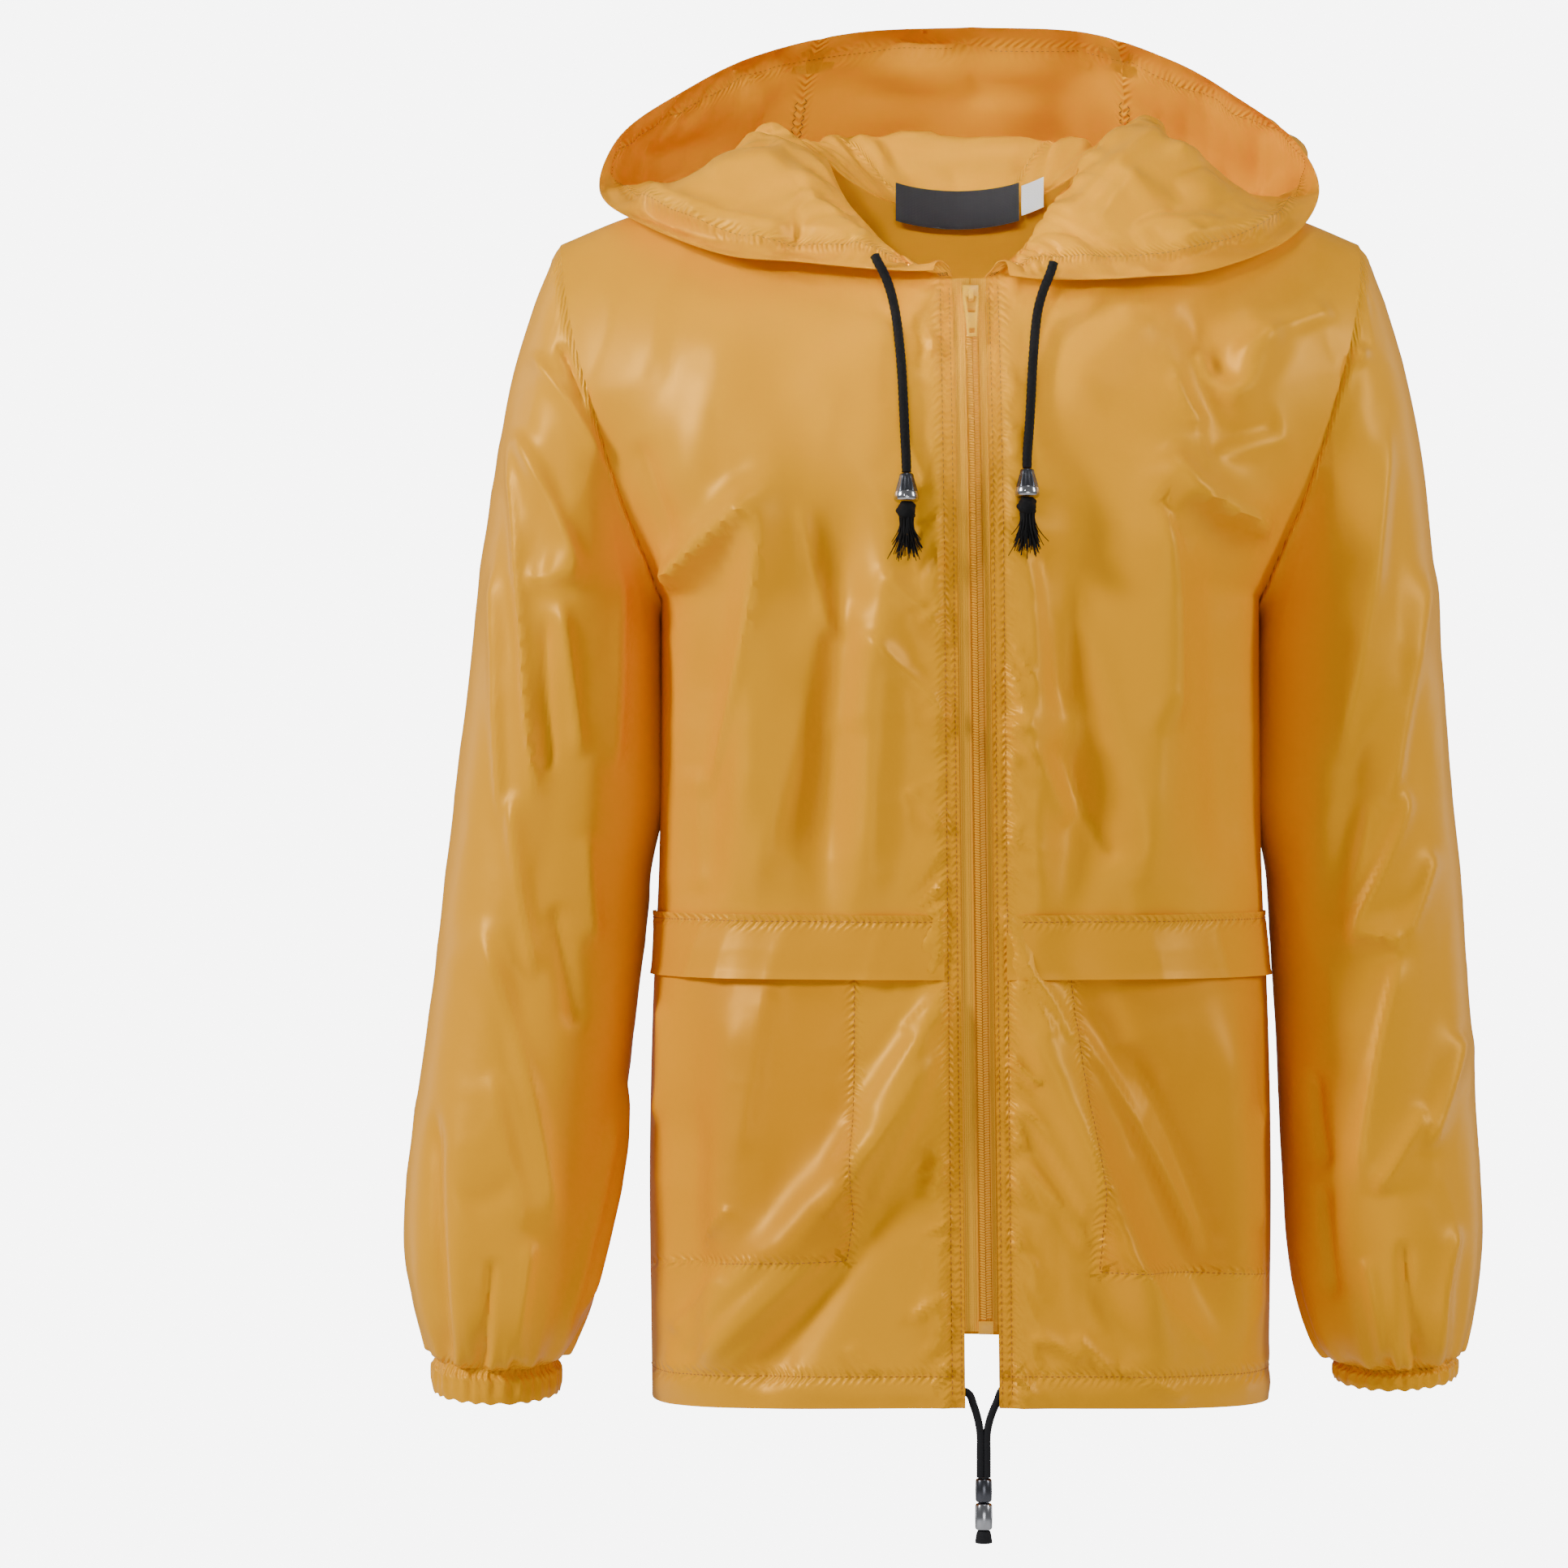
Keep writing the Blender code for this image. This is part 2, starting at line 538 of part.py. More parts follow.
def armhole_ring():
    """The armhole as a ring of +X: every second point is a panel's, the others halve the chords between."""
    points = []
    for i in range(2 * ARMHOLE_ROWS):
        face, t = (-1, i / ARMHOLE_ROWS) if i <= ARMHOLE_ROWS else (1, 2 - i / ARMHOLE_ROWS)
        points.append(armhole(face, t))
    points = np.array(points)
    ring = np.empty((SLEEVE_COLUMNS, 3))
    ring[0::2] = points
    ring[1::2] = (points + np.roll(points, -1, axis=0)) / 2
    ring[:, 0] += SEAM_GAP
    return ring


def sleeve_ring(side, k, start, turn):
    """One ring of a sleeve at row k of the table; turn 0 lies under the arm and a quarter turn in front."""
    table = SLEEVE_LEFT if side > 0 else SLEEVE_RIGHT
    keys = np.arange(len(table["outer_x"]))
    read = {name: through(keys, row, k) for name, row in (table | SLEEVE_RING).items()}
    first = {name: row[0] for name, row in (table | SLEEVE_RING).items()}
    rings = []
    for r in (read, first):
        across = (1 - np.cos(turn)) / 2
        x = r["inner_x"] + (r["outer_x"] - r["inner_x"]) * across
        z = r["inner_z"] + (r["outer_z"] - r["inner_z"]) * across - r["tilt"] * np.sin(turn)
        y = r["middle_y"] - np.where(np.sin(turn) > 0, r["front"], r["back"]) * np.sin(turn)
        rings.append(np.stack([x, y, z], axis=1))
    return rings[0] + (start - rings[1]) * (1 - ease(k / 3.5))


def gather_height(k, turn):
    """Pleats that run up from the cuff and die out, deepest just above it."""
    share = np.clip((k - 10.2) / 3.8, 0, 1)
    uneven = 0.75 + 0.25 * np.cos(3 * turn + 1.0)
    return 2.6 * share**1.5 * uneven * np.cos(GATHERS * turn)


def sleeve_surface(side):
    start = armhole_ring()
    # The turn of each column follows the armhole's own points, so that rings don't twist.
    turn = np.arange(SLEEVE_COLUMNS) * 2 * math.pi / SLEEVE_COLUMNS
    grid = np.array([sleeve_ring(side, k, start, turn) for k in SLEEVE_ROWS]) * np.array([side, 1, 1])
    outward = grid_normals(grid, around=True) * side
    x, z = grid[..., 0], grid[..., 2]
    behind = SLEEVE_BACK_FOLDS if side < 0 else SLEEVE_BACK_FOLDS[3:]  # the left one hangs smooth behind the arm
    height = np.where(np.sin(turn) > 0, fold_height(FRONT_OF_SLEEVE[side], x, z), fold_height(behind, np.abs(x), z))
    rows = np.array(SLEEVE_ROWS)[:, None]
    height = height * ease(rows / 1.2) * (1 - ease((rows - 12.2) / 1.8)) * np.abs(np.sin(turn)) ** 0.7
    height = height + gather_height(rows, turn[None, :])
    grid = grid + outward * height[..., None]
    inward = -grid_normals(grid, around=True) * side
    inward[0] = to_ring_middle(grid[0])
    return grid, inward


def cuff_surface(side):
    start = armhole_ring()
    turn = np.arange(SLEEVE_COLUMNS) * 2 * math.pi / SLEEVE_COLUMNS
    ring = sleeve_ring(side, 14, start, turn) * np.array([side, 1, 1])
    middle = ring.mean(axis=0)
    out = unit((ring - middle) * np.array([1, 1, 0]))
    rib = np.where(np.arange(SLEEVE_COLUMNS) % 2 == 0, 0.55, -0.55)
    rows = []
    for share, swell in ((0, -1.2), (0.25, 1.0), (0.75, 1.2), (1, 0.2)):
        row = ring + out * (swell + rib * (1 if 0 < share < 1 else 0.4))[:, None]
        row[:, 2] -= SEAM_GAP + 0.1 + CUFF_HEIGHT[side] * share
        rows.append(row)
    return np.array(rows), -np.array([out] * 4)


# ---------------------------------------------------------------- hood
HOOD_ALONG = {-1: (0, 0.07, 0.15, 0.235, 0.32, 0.41, 0.5), 1: (0.5, 0.58, 0.66, 0.735, 0.80, 0.865, 1.0)}
HOOD_SPREAD = (0, 0.07, 0.15, 0.23, 0.32, 0.42, 0.52, 0.62, 0.71, 0.8, 0.88, 0.955, 1.0)
# The hood is twisted a little, so the middle of its crest and of its rim don't line up.
HOOD_SHIFT = {"crest": -9, "inner": -6, "bottom": 0, "belly": 4, "rim": 12}


def halved(line):
    """The line with a point added in the middle of each of its stretches."""
    line = np.asarray(line, float)
    made = np.empty((2 * len(line) - 1, *line.shape[1:]))
    made[0::2], made[1::2] = line, (line[1:] + line[:-1]) / 2
    return made


def hood_half(side):
    """Points of half the hood: columns from the zip round to the middle of the back, rows from neck to rim."""
    front = neckline(-1, NECK_SHARES[-1])
    front[:, 0] = lean(side, front[:, 0], front[:, 2])
    back = neckline(1, NECK_SHARES[1])[::-1] * np.array([side, 1, 1])
    seam = np.concatenate([front, back[1:]])
    along = np.concatenate([HOOD_ALONG[-1], HOOD_ALONG[1][1:]])
    neck, at = halved(seam), halved(along)
    neck[:, 2] += SEAM_GAP
    lines = [neck]
    table = HOOD_LEFT if side > 0 else HOOD_RIGHT
    for name in HOOD_ROWS:
        line = through(table["along"], table[name], at)
        x = side * line[:, 0] + zip_x(ZIP_TOP_Z) * (1 - at) ** 4 + HOOD_SHIFT[name] * ease((at - 0.5) / 0.5)
        lines.append(np.stack([x, line[:, 1], line[:, 2]], axis=1))
    return np.array([through(HOOD_ROW_AT, np.array(lines), r) for r in HOOD_SPREAD]), at


def casing_swell(grid, outward):
    """The turned edge that holds the cord stands a little fuller than the cloth beside it."""
    return grid + outward * np.where(np.array(HOOD_SPREAD) > 0.9, 0.8, 0)[:, None, None]


# ---------------------------------------------------------------- building
def clear_scene():
    for old in list(bpy.data.objects):
        bpy.data.objects.remove(old)


def build_body():
    for side, name in ((1, "front_left"), (-1, "front_right")):
        grid, inward = front_surface(side)
        wall(name, grid, inward, coat_cloth())
    grid, inward = back_surface()
    wall("back", grid, inward, coat_cloth())


def build_flaps():
    for side, name in ((1, "flap_left"), (-1, "flap_right")):
        grid, inward = front_surface(side)
        grid, inward = grid[FLAP_ROWS, 1:], inward[FLAP_ROWS, 1:]
        columns = np.arange(grid.shape[1])
        stand = (3.4 + 1.6 * np.cos(columns * 1.1 + side)) * (1 - 0.75 * ease((columns - 7) / 5))
        share = np.array([1.0, 0.55, 0.0])[:, None]
        height = LAY_GAP + CLOTH + stand[None, :] * share * np.minimum(columns / 2, 1)
        wall(name, grid - inward * height[..., None], inward, coat_cloth())


def build_sleeves():
    for side, name in ((1, "sleeve_left"), (-1, "sleeve_right")):
        grid, inward = sleeve_surface(side)
        wall(name, grid, inward, coat_cloth(), around=True)
    for side, name in ((1, "cuff_left"), (-1, "cuff_right")):
        grid, inward = cuff_surface(side)
        wall(name, grid, inward, coat_cloth(), around=True)


def build_hood():
    middle = []
    for side, name in ((1, "hood_left"), (-1, "hood_right")):
        grid, along = hood_half(side)
        outward = grid_normals(grid) * side
        outward[:, -1, 0] = 0
        outward = unit(outward)
        grid = casing_swell(grid, outward)
        cut = int(np.argmin(np.abs(along - CENTRE_PANEL_FROM)))
        part = grid[:, : cut + 1].copy()
        part[:, -1] += (part[:, -2] - part[:, -1]) * (SEAM_GAP / 2) / np.linalg.norm(
            part[:, -2] - part[:, -1], axis=1, keepdims=True
        )
        wall(name, part, -outward[:, : cut + 1], coat_cloth())
        part = grid[:, cut:].copy()
        part[:, 0] += (part[:, 1] - part[:, 0]) * (SEAM_GAP / 2) / np.linalg.norm(
            part[:, 1] - part[:, 0], axis=1, keepdims=True
        )
        middle.append((part, outward[:, cut:]))
    (left, left_out), (right, right_out) = middle
    grid = np.concatenate([left, right[:, ::-1][:, 1:]], axis=1)
    outward = np.concatenate([left_out, right_out[:, ::-1][:, 1:]], axis=1)
    wall("hood_centre", grid, -outward, coat_cloth())


# ---------------------------------------------------------------- zip
def zip_rows():
    """The face of the zip's tapes along its middle: (z, y) from the bottom up, and the ways in."""
    grid, inward = front_surface(1)
    line = grid[:, 0] + inward[:, 0] * (CLOTH + LAY_GAP)
    return line[:, 2], line[:, 1], inward[:, 0]


def on_zip(z, x=0.0, out=0.0):
    """A point of the zip at height z: x from its middle, out from the face of the tapes."""
    heights, y, inward = zip_rows()
    way = np.array([np.interp(z, heights, inward[:, i]) for i in range(3)])
    return np.array([zip_x(z) + x, np.interp(z, heights, y), z]) - way * out


def blocks(name, xs, ts, outs, filled, place, finish, pivot=(0, 0, 0)):
    """One solid from the cells of a small lattice for which filled(i, j, k) holds."""
    shape = (len(xs) - 1, len(ts) - 1, len(outs) - 1)
    cells = {(i, j, k) for i in range(shape[0]) for j in range(shape[1]) for k in range(shape[2]) if filled(i, j, k)}
    corners = ((0, 0), (1, 0), (1, 1), (0, 1))
    index, points, faces = {}, [], []
    for cell in sorted(cells):
        for axis in range(3):
            for end in (0, 1):
                beyond = list(cell)
                beyond[axis] += 1 if end else -1
                if tuple(beyond) in cells:
                    continue
                face = []
                for a, b in corners:
                    at = list(cell)
                    at[axis] += end
                    at[(axis + 1) % 3] += a
                    at[(axis + 2) % 3] += b
                    if tuple(at) not in index:
                        index[tuple(at)] = len(points)
                        points.append(place(xs[at[0]], ts[at[1]], outs[at[2]]))
                    face.append(index[tuple(at)])
                faces.append(tuple(face))
    made = solid(name, points, faces, finish, pivot)
    made.data.set_sharp_from_angle(angle=math.radians(30))
    return made


def slider_frame():
    """Where the slider sits: its origin on the tapes, the way down along the zip, and the way out."""
    origin = on_zip(SLIDER_Z)
    down = unit(on_zip(SLIDER_Z - 9) - on_zip(SLIDER_Z + 9))
    out = unit(np.cross(down, (1.0, 0.0, 0.0)))
    return origin, down, out


SLIDER_HALF = 8.2
HINGE_OUT = 5.2
PULL_HALF = 4.15
PIN = 0.65


def build_zip():
    cloth = material("zip_cloth", ZIP_YELLOW, 0.6)
    plastic = material("zip_plastic", ZIP_YELLOW, 0.4)
    paint = material("zip_paint", ZIP_YELLOW, 0.35)
    first = LOW_ROWS.index(-684)
    for side, name in ((1, "zip_tape_left"), (-1, "zip_tape_right")):
        grid, inward = front_surface(side)
        face = grid[first:, :2] + inward[first:, :2] * (CLOTH + LAY_GAP)
        middle = face[:, :1].copy()
        middle[..., 0] = zip_x(middle[..., 2]) + side * 0.4
        wall(name, np.concatenate([middle, face], axis=1), np.concatenate([inward[first:, :1], inward[first:, :2]], axis=1),
             cloth, thickness=0.8)
    heights = zip_rows()[0]
    top = SLIDER_Z - SLIDER_HALF * 0.93 - 0.4
    low = ZIP_BOTTOM_Z + 7.4
    stations = [low] + [z for z in heights if low + 2 < z < top - 2] + [top]
    face = np.array([[on_zip(z, x, LAY_GAP + 1.7) for x in (-3.1, 3.1)] for z in stations])
    back = np.array([[on_zip(z, x, LAY_GAP) for x in (-3.1, 3.1)] for z in stations])
    wall("zip_teeth", face, (back - face) / 1.7, plastic, thickness=1.7)

    down = unit(on_zip(low) - on_zip(low + 8))
    blocks("zip_box", (-4.2, 4.2), (0, 7.4), (LAY_GAP, LAY_GAP + 2.6), lambda i, j, k: True,
           lambda x, t, out: on_zip(low - 0.3, x, out) + down * t, plastic)

    origin, down, out = slider_frame()
    right = np.array([1.0, 0.0, 0.0])

    def at_slider(x, t, o):
        narrow = 1 - 0.14 * (t + SLIDER_HALF) / (2 * SLIDER_HALF) if o < 4 else 1
        return origin + right * x * narrow + down * t + out * o

    def slider_cell(i, j, k):
        return k == 0 or (i == 1 and ((k in (1, 2) and j in (1, 3)) or (k == 3 and 1 <= j <= 3)))

    blocks("zip_slider", (-4.9, -1.5, 1.5, 4.9), (-SLIDER_HALF, -3.2, -1.6, 1.6, 3.2, SLIDER_HALF),
           (LAY_GAP, 3.75, 4.5, 6.65, 7.6), slider_cell, at_slider, paint)

    def pull_cell(i, j, k):
        return not (i == 1 and j == 1) and not (i == 1 and j == 3)

    blocks("zip_pull", (-PULL_HALF, -2.0, 2.0, PULL_HALF), (-PIN, PIN, 4.8, 18.5, 23.5, PULL_LENGTH),
           (HINGE_OUT - PIN, HINGE_OUT + PIN), pull_cell, at_slider, paint, pivot=at_slider(0, 0, HINGE_OUT))


# ---------------------------------------------------------------- labels, cords and what hangs on them
def build_labels():
    for name, middle, (width, height), finish in (
        ("neck_label", 0.0, LABEL_SIZE, material("label_cloth", CHARCOAL, 0.7)),
        ("care_label", 45.0, CARE_LABEL_SIZE, material("care_cloth", WHITE, 0.6)),
    ):
        x = np.linspace(middle - width / 2, middle + width / 2, 9 if width > 20 else 3)
        seam_z = column(NECKLINE, "x", "back", np.abs(x))
        seam_y = figure_y(x, seam_z, 1)
        rows = []
        for share in (-0.5, 0, 0.5):
            rows.append(np.stack([x, seam_y - CLOTH - 0.8, seam_z + 1 + height * share], axis=1))
        grid = np.array(rows)
        wall(name, grid, grid_normals(grid), finish, thickness=0.6)


def cord(name, route, radius, finish):
    """A round cord through its route's points, read from a smooth curve every two diameters or so."""
    route = np.asarray(route, float)
    at = np.concatenate([[0], np.cumsum(np.linalg.norm(np.diff(route, axis=0), axis=1))])
    count = max(6, round(at[-1] / (radius * 2 * 2.0)))
    points = through(at, route, np.linspace(0, at[-1], count + 1))
    curve = bpy.data.curves.new(name, "CURVE")
    curve.dimensions = "3D"
    curve.bevel_depth = radius * MM
    curve.bevel_resolution = 2
    curve.use_fill_caps = True
    spline = curve.splines.new("POLY")
    spline.points.add(len(points) - 1)
    for point, place in zip(spline.points, points):
        point.co = (*(place * MM), 1)
    curve.materials.append(finish)
    made = bpy.data.objects.new(name, curve)
    bpy.context.scene.collection.objects.link(made)
    return points


def build_cords():
    black = material("black_cord", BLACK, 0.8)
    steel = material("steel", STEEL, 0.25, 1.0)
    dark = material("dark_steel", (0.16, 0.16, 0.17), 0.3, 1.0)
    for side, name in (("left", "cord_left"), ("right", "cord_right")):
        cord(name, CORD_ROUTES[name], CORD_RADIUS, black)
        end = np.array(CORD_ROUTES[name][-1], float)
        bell = ((0.9, 3.3), (1.4, 4.0), (7.0, 4.6), (12.5, 6.0), (16.0, 7.0), (16.8, 6.4))
        lathe("cord_end_" + side, end, TASSEL_WAY, bell, 14, steel)
        tuft = ((17.15, 3.4), (19.0, 5.2), (22.5, 5.6), (25.5, 3.6), (31.0, 4.8), (40.0, 6.4), (50.0, 7.4))
        lathe("tassel_" + side, end, TASSEL_WAY, tuft, 18, black, 9, 0.16, (-5, -1, 2, -3, 1, 3, -2))
    for name, route in HEM_CORD_ROUTES.items():
        cord(name, route, HEM_CORD_RADIUS, material("elastic", (0.05, 0.05, 0.055), 0.75))
    barrel = ((0.0, 3.7), (0.9, 4.6), (6.8, 4.75), (12.7, 4.6), (13.6, 3.7))
    lathe("hem_bead_upper", HEM_BEADS_TOP, (0, 0, -1), barrel, 14, dark)
    barrel = ((13.95, 3.7), (14.9, 4.8), (22.0, 5.0), (28.6, 4.8), (29.5, 3.7))
    lathe("hem_bead_lower", HEM_BEADS_TOP, (0, 0, -1), barrel, 14, steel)
    tail = ((29.85, 3.8), (33.0, 4.6), (36.8, 5.0))
    lathe("hem_cord_tail", HEM_BEADS_TOP, (0, 0, -1), tail, 12, material("elastic", (0.05, 0.05, 0.055), 0.75))


clear_scene()
build_body()
build_flaps()
build_sleeves()
build_hood()
build_zip()
build_labels()
build_cords()
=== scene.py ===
# %% [markdown]
# # A light hooded raincoat
# A thin, glossy nylon raincoat with a zip, filled out as if somebody wore it, but hollow. The solid
# model gives every piece its place. Here each piece is made again with what a solid leaves out: thin
# walls, creases, sewing, the zip's coil, braided cords and cloth that shines.

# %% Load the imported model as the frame
import json
import math

import bmesh
import bpy
import numpy as np
from mathutils import Matrix, Vector


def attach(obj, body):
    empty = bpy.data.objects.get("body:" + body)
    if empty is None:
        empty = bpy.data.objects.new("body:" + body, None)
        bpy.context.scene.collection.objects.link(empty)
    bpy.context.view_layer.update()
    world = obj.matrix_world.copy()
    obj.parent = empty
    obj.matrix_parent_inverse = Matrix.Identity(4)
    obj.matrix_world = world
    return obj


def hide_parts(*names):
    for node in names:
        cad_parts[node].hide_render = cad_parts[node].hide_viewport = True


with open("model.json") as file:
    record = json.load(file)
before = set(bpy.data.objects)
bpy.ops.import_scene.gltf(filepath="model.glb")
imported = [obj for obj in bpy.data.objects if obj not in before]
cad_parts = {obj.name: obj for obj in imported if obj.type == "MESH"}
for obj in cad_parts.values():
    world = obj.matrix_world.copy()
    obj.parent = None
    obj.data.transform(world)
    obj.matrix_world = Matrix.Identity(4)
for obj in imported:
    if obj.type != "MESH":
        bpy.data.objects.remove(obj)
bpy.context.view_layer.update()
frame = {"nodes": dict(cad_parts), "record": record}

MM = 0.001

# %% [markdown]
# ## Camera, floor and light
# The coat is seen straight from the front, from three metres away and level with its middle. A narrow
# field keeps the sleeves from looking wider than they are. The coat hangs at the height of a
# wearer's shoulders, so the pale floor lies well below the picture. Smooth nylon shows its folds only
# by what it mirrors, so the light comes from a few large soft panels and not from lamps.

# %% Camera
EYE = (-104.0, -3000.0, -372.5)  # mm
SENSOR_WIDTH, LENS = 36, 116.46  # mm
camera_data = bpy.data.cameras.new("front_view")
camera_data.sensor_width = SENSOR_WIDTH
camera_data.lens = LENS
camera = bpy.data.objects.new("front_view", camera_data)
camera.location = [v * MM for v in EYE]
camera.rotation_euler = (math.radians(90), 0, 0)
bpy.context.scene.collection.objects.link(camera)
bpy.context.scene.camera = camera


# %% Floor and soft panels
FLOOR_SIZE, FLOOR_Z = 7, -1.45  # m
WORLD_LIGHT, WORLD_SEEN = 0.2, 7.0


def nothing_selected():
    """Leaves edit mode and clears the selection, so that the next operator works on its own piece."""
    if bpy.context.object and bpy.context.object.mode != "OBJECT":
        bpy.ops.object.mode_set(mode="OBJECT")
    bpy.ops.object.select_all(action="DESELECT")


def soft_panel(name, place, target, width, height, watts, spread=180):
    """A rectangle of light at a place, turned towards a target. A small spread keeps it to a narrow beam."""
    data = bpy.data.lights.new(name, "AREA")
    data.shape = "RECTANGLE"
    data.size, data.size_y, data.energy, data.spread = width, height, watts, math.radians(spread)
    made = bpy.data.objects.new(name, data)
    made.location = place
    made.rotation_euler = (Vector(target) - Vector(place)).to_track_quat("-Z", "Y").to_euler()
    bpy.context.scene.collection.objects.link(made)
    return made


nothing_selected()
bpy.ops.mesh.primitive_plane_add(size=FLOOR_SIZE, location=(0, 0, FLOOR_Z))
floor = bpy.context.object
floor.name = "floor"
LIGHTS = (
    # name, place, target, width, height, watts, spread
    ("key_left", (-2.6, -1.15, 1.0), (0, 0, -0.3), 0.5, 0.8, 78, 180),
    ("strip_right", (2.4, -1.1, 0.7), (0, 0, -0.35), 0.3, 1.2, 34, 180),
    ("fill_low", (0.3, -3.6, -0.9), (0, 0, -0.3), 1.6, 1.0, 15, 180),
    ("hood_beam", (-0.9, -2.4, 0.55), (0, 0.1, 0.1), 0.2, 0.2, 0.4, 18),
    ("neck_beam", (0, -2.8, 0.5), (0, 0.05, -0.085), 0.1, 0.1, 0.05, 6),
    ("edge_left", (-1.8, 1.0, -0.2), (-0.2, 0, -0.4), 0.5, 1.9, 4, 180),
    ("edge_right", (1.8, 1.0, -0.2), (0.2, 0, -0.4), 0.5, 1.9, 4, 180),
    ("top", (0.3, -0.9, 2.0), (0, 0, -0.1), 0.5, 0.4, 6, 180),
)
for row in LIGHTS:
    soft_panel(*row)
world = bpy.data.worlds.new("studio")
bpy.context.scene.world = world
world.use_nodes = True
# the camera sees a near-white studio, while the coat is lit by a weaker one that lets the folds read
background = world.node_tree.nodes["Background"]
background.inputs["Color"].default_value = (1, 1, 1, 1)
ray = world.node_tree.nodes.new("ShaderNodeLightPath")
level = world.node_tree.nodes.new("ShaderNodeMapRange")
level.inputs["To Min"].default_value = WORLD_LIGHT
level.inputs["To Max"].default_value = WORLD_SEEN
world.node_tree.links.new(ray.outputs["Is Camera Ray"], level.inputs["Value"])
world.node_tree.links.new(level.outputs["Result"], background.inputs["Strength"])
print(len(LIGHTS), "soft panels")

# %% [markdown]
# ## Writing materials as sums
# A finish is easier to read as a formula than as a heap of nodes. A Socket stands for one output, and
# adding or multiplying it adds the Math node that does so. A Paint holds one material and makes its
# other nodes.


# %% Sockets that can be added and multiplied
class Socket:
    def __init__(self, paint, socket):
        self.paint, self.socket = paint, socket

    def math(self, operation, first, second=0.0):
        return self.paint.node("ShaderNodeMath", {"operation": operation}, {0: first, 1: second})

    def __add__(self, other):
        return self.math("ADD", self, other)

    def __sub__(self, other):
        return self.math("SUBTRACT", self, other)

    def __rsub__(self, other):
        return self.math("SUBTRACT", other, self)

    def __mul__(self, other):
        return self.math("MULTIPLY", self, other)

    def __pow__(self, other):
        return self.math("POWER", self, other)

    __radd__ = __add__
    __rmul__ = __mul__

    def sine(self):
        return self.math("SINE", self)

    def waves(self, pitch):
        """Even ribs of -1 to 1, one in every pitch of what is measured."""
        return (self * (2 * math.pi / pitch)).sine()


class Paint:
    def __init__(self, name, **fixed):
        self.material = bpy.data.materials.new(name)
        self.material.use_nodes = True
        self.tree = self.material.node_tree
        self.shader = self.tree.nodes["Principled BSDF"]
        for socket, value in fixed.items():
            self.shader.inputs[socket.replace("_", " ")].default_value = value

    def node(self, kind, settings=None, inputs=None, out=0):
        """A node of any type: its settings first, then the values or links of its sockets."""
        made = self.tree.nodes.new(kind)
        for key, value in (settings or {}).items():
            if key == "stops":
                for i, (at, colour) in enumerate(value):
                    stop = made.color_ramp.elements[i] if i < 2 else made.color_ramp.elements.new(at)
                    stop.position, stop.color = at, (*colour, 1)
            else:
                setattr(made, key, value)
        self.feed(made, inputs or {})
        return Socket(self, made.outputs[out])

    def feed(self, made, inputs):
        for key, value in inputs.items():
            if isinstance(value, Socket):
                self.tree.links.new(value.socket, made.inputs[key])
            else:
                made.inputs[key].default_value = value

    def noise(self, scale, detail=3.0, vector=None):
        place = vector or self.node("ShaderNodeTexCoord", out="Object")
        return self.node("ShaderNodeTexNoise", {}, {"Vector": place, "Scale": scale, "Detail": detail})

    def cloth_map(self):
        """Metres across and along a piece of cloth, read from the piece's own map."""
        place = self.node("ShaderNodeUVMap", {"uv_map": "cloth"})
        across = self.node("ShaderNodeSeparateXYZ", {}, {0: place})
        return across, Socket(self, across.socket.node.outputs[1])

    def mark(self, name):
        """A number that the mesh carries at each of its points."""
        return self.node("ShaderNodeAttribute", {"attribute_name": name}, out="Fac")

    def mixed(self, share, first, second):
        colours = {0: share, 6: first, 7: second}
        return self.node("ShaderNodeMix", {"data_type": "RGBA"}, colours, out=2)

    def finish(self, colour, roughness, height=None, depth=0.001, strength=1.0):
        """Joins what varies to the shader: colour, roughness and the bump's height."""
        self.feed(self.shader, {"Base Color": colour, "Roughness": roughness})
        if height is not None:
            relief = {"Strength": strength, "Distance": depth, "Height": height}
            self.feed(self.shader, {"Normal": self.node("ShaderNodeBump", {}, relief)})
        return self.material


def light_of(red, green, blue):
    """A colour as Blender keeps it, from one given in screen values, 0 to 255."""
    return tuple(((v / 255 + 0.055) / 1.055) ** 2.4 for v in (red, green, blue)) + (1.0,)


# %% [markdown]
# ## Finishes
# The nylon is bright amber, closely woven and smooth, so it has a broad soft shine, a finer sheen
# at grazing angles and hardly any weave. Two marks on the mesh say where a seam pulls it into small
# puckers: `pucker` is how much, and `pace` is the distance along the seam. A third, `layer`, says where
# a second cloth lies behind the first; there the colour is painted darker, a painted shade of doubled cloth.

# %% Coat cloth
AMBER = light_of(250, 173, 16)
# the darker amber serves both random tone and the painted shade of doubled cloth
MOTTLE_AND_SHADE_AMBER = light_of(234, 152, 12)
COAT_WEAVE = 0.0011  # m from one pair of threads to the next
PUCKER_PACE = 4.6  # mm of seam a pucker, the unit of the mark pace


def coat_cloth():
    paint = Paint("coat_nylon", Specular_IOR_Level=0.75, Specular_Tint=light_of(255, 186, 64))
    layer, pucker, pace = paint.mark("layer"), paint.mark("pucker"), paint.mark("pace")
    cloudy = paint.noise(7, 3)
    crinkle = paint.noise(75, 5)
    across, along = paint.cloth_map()
    weave = across.waves(COAT_WEAVE) * along.waves(COAT_WEAVE)
    ripple = (pace * (2 * math.pi / PUCKER_PACE) + crinkle * 9.0).sine()
    # painted shade: the colour goes darker where layer marks a second cloth behind; the cloudy share is
    # random tone
    colour = paint.mixed(cloudy * 0.25 + layer * 0.75, AMBER, MOTTLE_AND_SHADE_AMBER)
    height = pucker * ripple * 0.75 + crinkle * 0.28 + weave * 0.012
    return paint.finish(colour, crinkle * 0.1 + 0.31, height, depth=0.001, strength=0.6)


COAT = coat_cloth()


# %% Thread, zip, cords, metal and labels
def shades(colour, share, more=0):
    """A colour and a darker or lighter one, which has the given share of its values."""
    return light_of(*colour), light_of(*(min(255, c * share + more) for c in colour))


